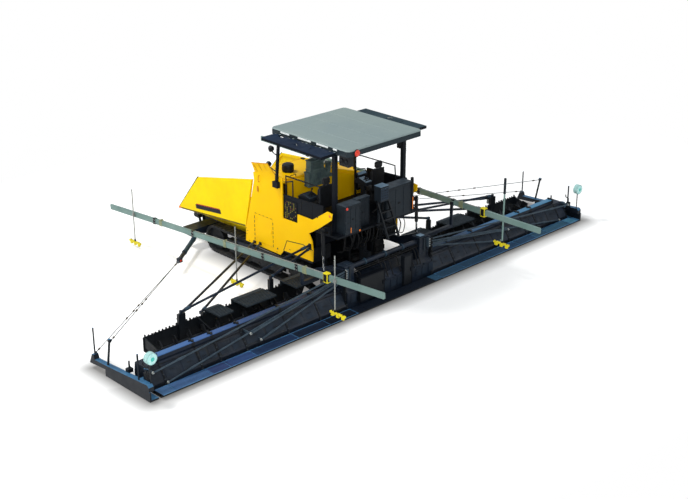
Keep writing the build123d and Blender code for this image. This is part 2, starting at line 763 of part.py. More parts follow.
def rear_face(z):
    """How far forward the extensions' sloping rear face lies at a height."""
    (low_y, low_z), (high_y, high_z) = REAR_FACE
    return low_y + (high_y - low_y) * max(0, z - low_z) / (high_z - low_z)


def extension_boxes():
    outline = [(300, SOLE_THICK), *REAR_FACE, (900, 520), (930, 300), (930, SOLE_THICK)]
    return group(*[both(side_plate(outline, x)) for x in sections(SECTION_ENDS)])


def top_chords():
    outline = [(580, 520), (580, 625), (595, 640), (740, 640), (740, 520)]
    return both(side_plate(outline, (1610, 6880)))


def walkways():
    pieces = []
    ends = [-WALK_HALF, WALK_HALF, *SECTION_ENDS]
    for low, high in sections(ends):
        plate = box((low, high), (-95, 225), (64, 100))
        plate += box((low + 40, high - 40), (150, 210), (SOLE_THICK, 70))
        pieces.append(plate if low < 0 else both(plate))
    return group(*pieces)


TIE_ROOT = (1470, 370)
TIE_RODS = [
    # root height, outer end's x and z
    (1040, 7232, 490),
    (980, 6860, 130),
    (920, 4550, 480),
    (860, 4250, 230),
]
TIE_Y = 262


def tie_rods():
    pieces = []
    root_x, root_y = TIE_ROOT
    roots = box((root_x - 60, root_x + 8), (root_y - 25, TOWER[1][0]), (830, 1075))
    for root_z, x, z in TIE_RODS:
        roots += rod((root_x, root_y, root_z), (x, TIE_Y, z), 22, 6)
        low, high = z - 26, z + 26
        bracket = [(TIE_Y - 28, low), (TIE_Y - 28, high), (rear_face(high), high), (rear_face(low), low)]
        roots += side_plate(bracket, (x - 14, x + 14))
    return both(roots)


def tow_arms():
    outline = [
        (400, 840), (400, 1080), (800, 1080), (1500, 770), (TOW_Y + 130, 670), (TOW_Y + 130, 520),
        (1400, 560), (760, 840),
    ]
    arm = side_plate(outline, (ARM_IN, ARM_OUT))
    arm -= wheel_x(TOW_Y, TOW_Z, TOW_PIN_R + 8, (ARM_IN - 5, ARM_OUT + 5))
    arm += box((TOWER[0][1], ARM_IN + 10), (430, 540), (850, 1070))
    arm += wheel_x(LIFT_EYE[1], LIFT_EYE[2], PIN_R, (ARM_OUT - 5, LIFT_EYE_X[1] + 10))
    pieces = []
    for side in (-1, 1):
        top = pivot_height(side)
        carrier = box((ARM_OUT - 10, 2650), (620, 700), (960, 1040))
        carrier += box((2610, 2650), (620, 700), (960, top + 40))
        carrier += wheel_x(BEAM_PIVOT_Y, top, PIN_R, (2640, 2700))
        pieces.append(arm + carrier if side > 0 else mirrored(arm + carrier))
    return group(*pieces)


GATE_RAIL = [
    # y, z round the top rail and the raised nose in front of it
    (20, 225), (20, 330), (70, 380), (1550, 270), (2030, 245), (2070, 350), (2130, 350), (2230, 110),
    (1620, 160), (1620, 225),
]


def end_gate():
    gate = side_plate(GATE_RAIL, (RAIL_IN, GATE_OUT))
    gate += box((GATE_OUT - 40, GATE_OUT), (0, 1630), (0, 230))
    gate += box((GATE_IN, GATE_OUT), (0, 1630), (0, 40))
    gate += box((7246, 7290), (420, 520), (200, 520)) + box((7280, RAIL_IN + 10), (430, 510), (240, 340))
    for foot, top, radius in GATE_POLES:
        gate += rod(foot, top, radius)
    return gate + box(*GATE_CLAMP)


GATE_POLES = [
    ((7470, 2095, 340), (7470, 2095, 980), 18),
    ((7470, 1600, 240), (7470, 1470, 900), 26),
    ((7470, 450, 330), (7470, 450, 950), 20),
]
GATE_CLAMP = ((7440, 7500), (1440, 1500), (860, 930))
LAMP_X, LAMP_Z, LAMP_R = 7395, 965, 132
RAIL_FALL = (GATE_RAIL[3][1] - GATE_RAIL[2][1]) / (GATE_RAIL[3][0] - GATE_RAIL[2][0])


def end_lamp():
    """A round warning lamp on a thin post at the rear of the end gate's rail."""
    drum = rod((LAMP_X, 20, LAMP_Z), (LAMP_X, 140, LAMP_Z), LAMP_R, 16)
    foot = [(y, GATE_RAIL[2][1] + (y - GATE_RAIL[2][0]) * RAIL_FALL) for y in (90, 110)]
    post = side_plate([*foot, (110, 900), (90, 900)], (LAMP_X + 10, LAMP_X + 30))
    return drum + post


STAY_TIP = (3060, 4960, 330)


def stay_wire():
    """Two strands from beside the stay arm to the end gate's nose and to its leaning pole."""
    wire = rod(STAY_TIP, (7430, 2100, 372), 9, 6) + box((7415, 7445), (2080, 2120), (350, 390))
    wire += rod(STAY_TIP, (7420, 1470, 890), 9, 6) + box((7405, GATE_CLAMP[0][0]), (1455, 1485), (872, 908))
    x, y, z = STAY_TIP
    return wire + box((x - 20, x + 30), (y - 30, y + 20), (z - 25, z + 25))


CONTROL_BOXES = [
    # x limits of the cabinets behind the basic screed, their rear face, lowest and highest z
    ((-1150, -300), 220, 150, 780),
    ((400, 700), 230, 110, 900),
]


def screed_controls():
    pieces = []
    for x, rear, low, high in CONTROL_BOXES:
        pieces.append(box(x, (rear, 300), (low, high)) + box(x, (290, 345), (590, high)))
    return group(*pieces)


def pivot_height(side):
    """The height of a levelling beam's pivot."""
    slope = atan2(BEAM_DROP[side], BEAM_LENGTH)
    return BEAM_REAR_Z - (BEAM_PIVOT_Y - BEAM_REAR) * sin(slope)


nodes["sole_plates"] = sole_plates()
nodes["screed_frame"] = screed_frame()
nodes["extension_boxes"] = extension_boxes()
nodes["top_chords"] = top_chords()
nodes["walkways"] = walkways()
nodes["tie_rods"] = tie_rods()
nodes["tow_arms"] = tow_arms()
nodes["end_gates"] = both(end_gate())
nodes["end_lamps"] = both(end_lamp())
nodes["stay_wires"] = both(stay_wire())
nodes["screed_controls"] = screed_controls()


# ---------------------------------------------------------------- lift cylinders
def along_lift(low, high, radius, flats=12):
    """A piece on the cylinder's axis, between two distances from its top pin."""
    top, eye = Vector(*LIFT_TOP), Vector(*LIFT_EYE)
    axis = (eye - top).normalized()
    return rod(tuple(top + axis * low), tuple(top + axis * high), radius, flats)


def lift_barrel():
    tube = along_lift(40, 650, 45) - along_lift(60, 660, 33)
    tube += wheel_x(LIFT_TOP[1], LIFT_TOP[2], 46, LIFT_EYE_X)
    return tube - wheel_x(LIFT_TOP[1], LIFT_TOP[2], PIN_R + 2, LIFT_EYE_X)


def lift_rod():
    piece = along_lift(400, 1035, 25) + wheel_x(LIFT_EYE[1], LIFT_EYE[2], 58, LIFT_EYE_X)
    return piece - wheel_x(LIFT_EYE[1], LIFT_EYE[2], PIN_R + 15, LIFT_EYE_X)


nodes["lift_barrel_right"] = lift_barrel()
nodes["lift_barrel_left"] = mirrored(nodes["lift_barrel_right"])
nodes["lift_rod_right"] = lift_rod()
nodes["lift_rod_left"] = mirrored(nodes["lift_rod_right"])


# ---------------------------------------------------------------- levelling beams
def beam_height(side, y):
    """The height of a beam's middle line; the left beam's front end hangs below its rear end."""
    slope = atan2(BEAM_DROP[side], BEAM_LENGTH)
    return BEAM_REAR_Z - (y - BEAM_REAR) * sin(slope) / cos(slope)


BEAM_CLAMPS = [-320, 1900, 4650, 6300]


def levelling_beam(side):
    """A beam of bolted lengths with its pivot block."""
    slope = atan2(BEAM_DROP[side], BEAM_LENGTH)
    ends = (BEAM_REAR, BEAM_REAR + BEAM_LENGTH * cos(slope))
    rear, front = [(side * BEAM_X, y, beam_height(side, y)) for y in ends]
    whole = bar(rear, front, BEAM_WIDTH, BEAM_DEPTH)
    for y in BEAM_CLAMPS:
        low, high = [(side * BEAM_X, place, beam_height(side, place)) for place in (y - 60, y + 60)]
        whole += bar(low, high, BEAM_WIDTH + 16, BEAM_DEPTH + 16)
    middle = pivot_height(side)
    block = box(span(side, 2660, 2712), (BEAM_PIVOT_Y - 45, BEAM_PIVOT_Y + 45), (middle - 45, middle + 45))
    return whole + block - wheel_x(BEAM_PIVOT_Y, middle, PIN_R + 7, span(side, 2650, 2705))


MASTS = [
    # side, y of the pole, y of the foot bar's middle, top of the foot bar, top of the pole
    (-1, -630, -725, 740, 2140),
    (-1, 2880, 2880, 380, 1850),
    (-1, 7210, 7210, 180, 1660),
    (1, -920, -900, 930, 2670),
]
POLE_X = BEAM_X + 60
FOOT_HALF = 240


def mast(side, y, foot_y, foot_z, top):
    """A sensor mast clamped to the beam's outer face, with a foot bar that carries three heads."""
    x = side * POLE_X
    clamp_z = beam_height(side, y)
    pole = rod((x, y, foot_z - 10), (x, y, top), 15)
    clamp_x = span(side, BEAM_X + BEAM_WIDTH / 2, POLE_X + 30)
    pole += box(clamp_x, (y - 30, y + 30), (clamp_z - 40, clamp_z + 40))
    pole += box((x - 25, x + 25), (foot_y - FOOT_HALF, foot_y + FOOT_HALF), (foot_z - 40, foot_z))
    for shift in (-170, 0, 170):
        pole += box((x - 20, x + 20), (foot_y + shift - 30, foot_y + shift + 30), (foot_z - 100, foot_z - 35))
    return pole


def masts(side):
    return group(*[mast(*row) for row in MASTS if row[0] == side])


for side, word in ((-1, "left"), (1, "right")):
    nodes[f"levelling_beam_{word}"] = levelling_beam(side)
    nodes[f"sensor_masts_{word}"] = masts(side)


os.makedirs("parts", exist_ok=True)
for name, shape in nodes.items():
    export_step(Pos(0, -ORIGIN_Y, 0) * shape, f"parts/{name}.step")
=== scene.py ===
import bpy, bmesh, math, random
from mathutils import Matrix, Vector


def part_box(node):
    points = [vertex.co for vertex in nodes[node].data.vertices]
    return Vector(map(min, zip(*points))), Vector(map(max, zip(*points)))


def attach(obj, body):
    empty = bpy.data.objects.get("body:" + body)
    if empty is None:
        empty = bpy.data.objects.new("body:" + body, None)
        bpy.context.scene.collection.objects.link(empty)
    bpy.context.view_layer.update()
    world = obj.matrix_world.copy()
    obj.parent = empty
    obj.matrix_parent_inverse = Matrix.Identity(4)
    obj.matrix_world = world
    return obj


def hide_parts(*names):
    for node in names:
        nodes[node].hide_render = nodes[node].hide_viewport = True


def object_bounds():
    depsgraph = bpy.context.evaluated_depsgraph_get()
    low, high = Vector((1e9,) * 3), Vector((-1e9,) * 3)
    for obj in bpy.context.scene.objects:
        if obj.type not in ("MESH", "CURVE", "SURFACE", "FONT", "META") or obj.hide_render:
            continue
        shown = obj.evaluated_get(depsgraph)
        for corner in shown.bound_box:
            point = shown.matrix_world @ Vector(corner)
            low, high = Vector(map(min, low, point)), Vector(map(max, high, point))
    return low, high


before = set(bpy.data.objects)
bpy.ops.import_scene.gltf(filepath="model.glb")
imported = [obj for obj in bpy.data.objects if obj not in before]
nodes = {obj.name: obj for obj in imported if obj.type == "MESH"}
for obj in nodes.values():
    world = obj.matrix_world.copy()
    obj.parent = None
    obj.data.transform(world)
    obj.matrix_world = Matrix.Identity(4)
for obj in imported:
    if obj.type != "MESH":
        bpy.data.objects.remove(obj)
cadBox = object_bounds()
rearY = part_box("sole_plates")[0].y   # the screed's rear edge: lengths along the machine are counted from it
print("frame loaded")


def toLinear(hexColour):
    channels = [int(hexColour[i:i + 2], 16) / 255 for i in (1, 3, 5)]
    return [c / 12.92 if c <= 0.04045 else ((c + 0.055) / 1.055) ** 2.4 for c in channels] + [1.0]


def addNode(tree, kind, settings=None, links=None):
    node = tree.nodes.new(kind)   # settings go to attributes or sockets, links to sockets
    for name, value in (settings or {}).items():
        if name == "stops":   # a colour ramp's stops, as (place, colour)
            while len(node.color_ramp.elements) < len(value):
                node.color_ramp.elements.new(0.5)
            for element, (place, colour) in zip(node.color_ramp.elements, value):
                element.position = place
                element.color = colour
        elif name == "steps":
            node.color_ramp.interpolation = value
        elif isinstance(name, str) and hasattr(node, name):
            setattr(node, name, value)
        else:
            node.inputs[name].default_value = value
    for name, socket in (links or {}).items():
        tree.links.new(socket, node.inputs[name])
    return node


# camera, light and floor
cameraSettings = {"place": (-20.392, -22.232, 12.92), "pitch": 67.37, "roll": 0.0, "turn": -44.06,
    "lens": 64.94}
cameraData = bpy.data.cameras.new("camera")
cameraData.lens = cameraSettings["lens"]
cameraData.sensor_width = 36
cameraData.clip_end = 400
camera = bpy.data.objects.new("camera", cameraData)
camera.location = cameraSettings["place"]
camera.rotation_euler = [math.radians(cameraSettings[k]) for k in ("pitch", "roll", "turn")]
bpy.context.scene.collection.objects.link(camera)
bpy.context.scene.camera = camera
bpy.context.scene.view_settings.view_transform = "Standard"

lights = {
    "key": {"place": (-9, 10, 25), "size": 5, "power": 4300},
    "side": {"place": (-26, 4, 9), "size": 10, "power": 1300},
    "fill": {"place": (16, -18, 16), "size": 16, "power": 900},
    "front": {"place": (-16, -20, 14), "size": 12, "power": 2300},
}
for name, light in lights.items():
    data = bpy.data.lights.new(name, "AREA")
    data.energy = light["power"]
    data.size = light["size"]
    lamp = bpy.data.objects.new(name, data)
    lamp.location = light["place"]
    lamp.rotation_euler = (Vector((0, 0, 1)) - lamp.location).to_track_quat("-Z", "Y").to_euler()
    bpy.context.scene.collection.objects.link(lamp)

world = bpy.data.worlds.new("studio")
bpy.context.scene.world = world
world.use_nodes = True
tree = world.node_tree
tree.nodes.clear()
rays = addNode(tree, "ShaderNodeLightPath")
studio = addNode(tree, "ShaderNodeBackground", {"Color": (0.9, 0.95, 1.0, 1), "Strength": 0.55})
white = addNode(tree, "ShaderNodeBackground", {"Color": (1, 1, 1, 1), "Strength": 1.0})
seen = addNode(tree, "ShaderNodeMath", {"operation": "MAXIMUM"},
    {0: rays.outputs["Is Camera Ray"], 1: rays.outputs["Is Transmission Ray"]})
mix = addNode(tree, "ShaderNodeMixShader", None,
    {0: seen.outputs[0], 1: studio.outputs[0], 2: white.outputs[0]})
addNode(tree, "ShaderNodeOutputWorld", None, {0: mix.outputs[0]})

floorMesh = bpy.data.meshes.new("floor")
floorMesh.from_pydata([(-150, -150, 0), (150, -150, 0), (150, 150, 0), (-150, 150, 0)], [], [(0, 1, 2, 3)])
floor = bpy.data.objects.new("floor", floorMesh)
floor.location.z = -0.002
bpy.context.scene.collection.objects.link(floor)

# painted studio floor: it keeps the soft shadow beside the machine and runs out to plain white
floorSettings = {"paint": "#EDECEA", "lift": 0.3, "shadowReach": 4.0, "fade": 5.0}
floorPaint = bpy.data.materials.new("studio_floor")
floorPaint.use_nodes = True
tree = floorPaint.node_tree
tree.nodes.clear()
rays = addNode(tree, "ShaderNodeLightPath")
seen = addNode(tree, "ShaderNodeMath", {"operation": "MAXIMUM"},
    {0: rays.outputs["Is Camera Ray"], 1: rays.outputs["Is Transmission Ray"]})
matt = addNode(tree, "ShaderNodeBsdfDiffuse", {"Color": toLinear(floorSettings["paint"])})
lift = addNode(tree, "ShaderNodeMath", {"operation": "MULTIPLY", 1: floorSettings["lift"]},
    {0: seen.outputs[0]})
glow = addNode(tree, "ShaderNodeEmission", {"Color": (1, 1, 1, 1)}, {"Strength": lift.outputs[0]})
near = addNode(tree, "ShaderNodeAddShader", None, {0: matt.outputs[0], 1: glow.outputs[0]})
place = addNode(tree, "ShaderNodeTexCoord")
halfX, halfY = cadBox[1].x, cadBox[1].y
squash = addNode(tree, "ShaderNodeVectorMath", {"operation": "MULTIPLY", 1: (1, halfX / halfY, 0)},
    {0: place.outputs["Object"]})
reach = addNode(tree, "ShaderNodeVectorMath", {"operation": "LENGTH"}, {0: squash.outputs[0]})
start = halfX + floorSettings["shadowReach"]
far = addNode(tree, "ShaderNodeMapRange", {"From Min": start, "From Max": start + floorSettings["fade"]},
    {"Value": reach.outputs["Value"]})
far = addNode(tree, "ShaderNodeMath", {"operation": "MULTIPLY"}, {0: far.outputs[0], 1: seen.outputs[0]})
# the dark edge of the shadow round the screed and the tracks: middle, half size and reach in metres
contact = None
for middle, half, reachOut, depth in (((0, -2.66, 0), (7.5, 0.46, 1), 0.62, 0.86),
    ((7.46, -2.05, 0), (0.06, 1.05, 1), 0.5, 0.8),
                                      ((-7.46, -2.05, 0), (0.06, 1.05, 1), 0.5, 0.8),
                                      ((0, 0.2, 0), (1.45, 1.95, 1), 0.8, 0.75)):
    away = addNode(tree, "ShaderNodeVectorMath", {"operation": "SUBTRACT", 1: middle},
        {0: place.outputs["Object"]})
    away = addNode(tree, "ShaderNodeVectorMath", {"operation": "ABSOLUTE"}, {0: away.outputs[0]})
    away = addNode(tree, "ShaderNodeVectorMath", {"operation": "SUBTRACT", 1: half}, {0: away.outputs[0]})
    away = addNode(tree, "ShaderNodeVectorMath", {"operation": "MAXIMUM", 1: (0, 0, 0)}, {0: away.outputs[0]})
    away = addNode(tree, "ShaderNodeVectorMath", {"operation": "LENGTH"}, {0: away.outputs[0]})
    shade = addNode(tree, "ShaderNodeMapRange",
        {"From Min": 0.0, "From Max": reachOut, "To Min": depth, "To Max": 0.0},
        {"Value": away.outputs["Value"]})
    contact = shade if contact is None else addNode(tree, "ShaderNodeMath", {"operation": "MAXIMUM"},
        {0: contact.outputs[0], 1: shade.outputs[0]})
contact = addNode(tree, "ShaderNodeMath", {"operation": "MULTIPLY"},
    {0: contact.outputs[0], 1: seen.outputs[0]})
dark = addNode(tree, "ShaderNodeEmission", {"Color": toLinear("#6A6866"), "Strength": 1.0})
near = addNode(tree, "ShaderNodeMixShader", None,
    {0: contact.outputs[0], 1: near.outputs[0], 2: dark.outputs[0]})
plainWhite = addNode(tree, "ShaderNodeEmission", {"Color": (1, 1, 1, 1), "Strength": 1.0})
mix = addNode(tree, "ShaderNodeMixShader", None,
    {0: far.outputs[0], 1: near.outputs[0], 2: plainWhite.outputs[0]})
addNode(tree, "ShaderNodeOutputMaterial", None, {0: mix.outputs[0]})
floorMesh.materials.append(floorPaint)
print("camera and light set")


# materials
def perMetre(millimetres):
    return 1000 / millimetres   # a pattern's scale from the real size of what repeats


# look: colour and shade drift over patch mm; grain mm and depth mm for the bump; wear shows bare metal
def makeFinish(name, look):
    material = bpy.data.materials.new(name)
    material.use_nodes = True
    tree = material.node_tree
    tree.nodes.clear()
    place = addNode(tree, "ShaderNodeTexCoord").outputs["Object"]
    drift = addNode(tree, "ShaderNodeTexNoise", {"Scale": perMetre(look.get("patch", 900)), "Detail": 5.0},
        {"Vector": place})
    drift = addNode(tree, "ShaderNodeMapRange", {"From Min": 0.35, "From Max": 0.65},
        {"Value": drift.outputs[0]})
    colour = addNode(tree, "ShaderNodeMix", {"data_type": "RGBA", 6: toLinear(look["colour"]),
        7: toLinear(look["shade"])}, {0: drift.outputs[0]})
    colour = colour.outputs[2]
    shape = addNode(tree, "ShaderNodeNewGeometry")
    if "tones" in look:   # tones along X, as (metres from the middle, colour), left to right
        low, high = look["tones"][0][0], look["tones"][-1][0]
        across = addNode(tree, "ShaderNodeSeparateXYZ", None, {0: place})
        share = addNode(tree, "ShaderNodeMapRange", {"From Min": low, "From Max": high},
            {"Value": across.outputs["X"]})
        stops = [((x - low) / (high - low), toLinear(tone)) for x, tone in look["tones"]]
        ramp = addNode(tree, "ShaderNodeValToRGB", {"stops": stops, "steps": look.get("steps", "LINEAR")},
            {0: share.outputs[0]})
        toned = addNode(tree, "ShaderNodeMix",
            {"data_type": "RGBA", "blend_type": "MULTIPLY", 0: look.get("mottle", 0.25)},
            {6: ramp.outputs[0], 7: colour})
        colour = toned.outputs[2]
    if "side" in look:   # upright and hanging faces carry a darker colour than the tops: painted shade on faces turned from the light above, on some parts also a second paint colour
        lean = addNode(tree, "ShaderNodeSeparateXYZ", None, {0: shape.outputs["True Normal"]})
        up = addNode(tree, "ShaderNodeMath", {"operation": "GREATER_THAN", 1: look.get("lean", 0.5)},
            {0: lean.outputs["Z"]})
        side_shade_and_paint = addNode(tree, "ShaderNodeMix", {"data_type": "RGBA", 6: toLinear(look["side"])},
            {0: up.outputs[0], 7: colour})
        colour = side_shade_and_paint.outputs[2]
    if "dust" in look:   # dust settles on what faces up, in patches
        lean = addNode(tree, "ShaderNodeSeparateXYZ", None, {0: shape.outputs["Normal"]})
        cloud = addNode(tree, "ShaderNodeTexNoise",
            {"Scale": perMetre(look.get("dustPatch", 180)), "Detail": 8.0, "Roughness": 0.65},
            {"Vector": place})
        cloud = addNode(tree, "ShaderNodeMapRange",
            {"From Min": 0.45, "From Max": 0.75, "To Max": look["dust"][1]}, {"Value": cloud.outputs[0]})
        lie = addNode(tree, "ShaderNodeMapRange", {"From Min": -0.2, "From Max": 0.9, "To Min": 0.25},
            {"Value": lean.outputs["Z"]})
        share = addNode(tree, "ShaderNodeMath", {"operation": "MULTIPLY"},
            {0: cloud.outputs[0], 1: lie.outputs[0]})
        dusty = addNode(tree, "ShaderNodeMix", {"data_type": "RGBA", 7: toLinear(look["dust"][0])},
            {0: share.outputs[0], 6: colour})
        colour = dusty.outputs[2]
    metallic = None
    if "wear" in look:   # along edges the coat is rubbed through
        rounded = addNode(tree, "ShaderNodeBevel", {"samples": 3, "Radius": look["wear"][1] / 1000})
        edge = addNode(tree, "ShaderNodeVectorMath", {"operation": "DOT_PRODUCT"},
            {0: rounded.outputs[0], 1: shape.outputs["Normal"]})
        edge = addNode(tree, "ShaderNodeMapRange", {"From Min": 0.96, "From Max": 0.86},
            {"Value": edge.outputs["Value"]})
        chips = addNode(tree, "ShaderNodeTexNoise", {"Scale": perMetre(35), "Detail": 6.0}, {"Vector": place})
        chips = addNode(tree, "ShaderNodeMapRange", {"From Min": 0.5, "From Max": 0.62},
            {"Value": chips.outputs[0]})
        bare = addNode(tree, "ShaderNodeMath", {"operation": "MULTIPLY"},
            {0: edge.outputs[0], 1: chips.outputs[0]})
        worn = addNode(tree, "ShaderNodeMix", {"data_type": "RGBA", 7: toLinear(look["wear"][0])},
            {0: bare.outputs[0], 6: colour})
        colour = worn.outputs[2]
        metallic = bare.outputs[0]
    smear = addNode(tree, "ShaderNodeTexNoise", {"Scale": perMetre(look.get("smear", 240)), "Detail": 6.0},
        {"Vector": place})
    low, high = look.get("rough", (0.35, 0.5))
    rough = addNode(tree, "ShaderNodeMapRange",
        {"From Min": 0.3, "From Max": 0.7, "To Min": low, "To Max": high}, {"Value": smear.outputs[0]})
    grainSize, grainDepth = look.get("grain", (260, 0.8))
    grain = addNode(tree, "ShaderNodeTexNoise", {"Scale": perMetre(grainSize), "Detail": 3.0},
        {"Vector": place})
    height = grain.outputs[0]
    if "ribs" in look:   # a pressed or extruded pattern: axis, spacing mm, depth share
        axis, spacing = look["ribs"]
        wave = addNode(tree, "ShaderNodeTexWave",
            {"bands_direction": axis, "Scale": perMetre(spacing) / 6.2832 * 0.5, "Distortion": 0.0},
            {"Vector": place})
        height = addNode(tree, "ShaderNodeMath", {"operation": "ADD"},
            {0: grain.outputs[0], 1: wave.outputs["Fac"]}).outputs[0]
    if "tread" in look:   # raised lozenges of tread plate, drawn coarser than real so that they show
        turned = addNode(tree, "ShaderNodeMapping",
            {"Rotation": (0, 0, math.radians(45)), "Scale": (1, 1, 1)}, {"Vector": place})
        checks = addNode(tree, "ShaderNodeTexBrick",
            {"Scale": perMetre(look["tread"]), "Mortar Size": 0.035, "Brick Width": 0.9, "Row Height": 0.3},
            {"Vector": turned.outputs[0]})
        height = addNode(tree, "ShaderNodeMath", {"operation": "SUBTRACT"},
            {0: grain.outputs[0], 1: checks.outputs["Fac"]}).outputs[0]
    bump = addNode(tree, "ShaderNodeBump", {"Strength": look.get("bump", 0.6), "Distance": grainDepth / 1000},
        {"Height": height})
    surface = {"Metallic": look.get("metallic", 0.0), "Specular IOR Level": look.get("specular", 0.22),
        "Coat Weight": look.get("coat", 0.0), "Coat Roughness": look.get("coatRough", 0.12)}
    surface.update(look.get("surface", {}))
    shader = addNode(tree, "ShaderNodeBsdfPrincipled", surface,
        {"Base Color": colour, "Roughness": rough.outputs[0], "Normal": bump.outputs[0]})
    if metallic:
        tree.links.new(metallic, shader.inputs["Metallic"])
    addNode(tree, "ShaderNodeOutputMaterial", None, {0: shader.outputs[0]})
    return material


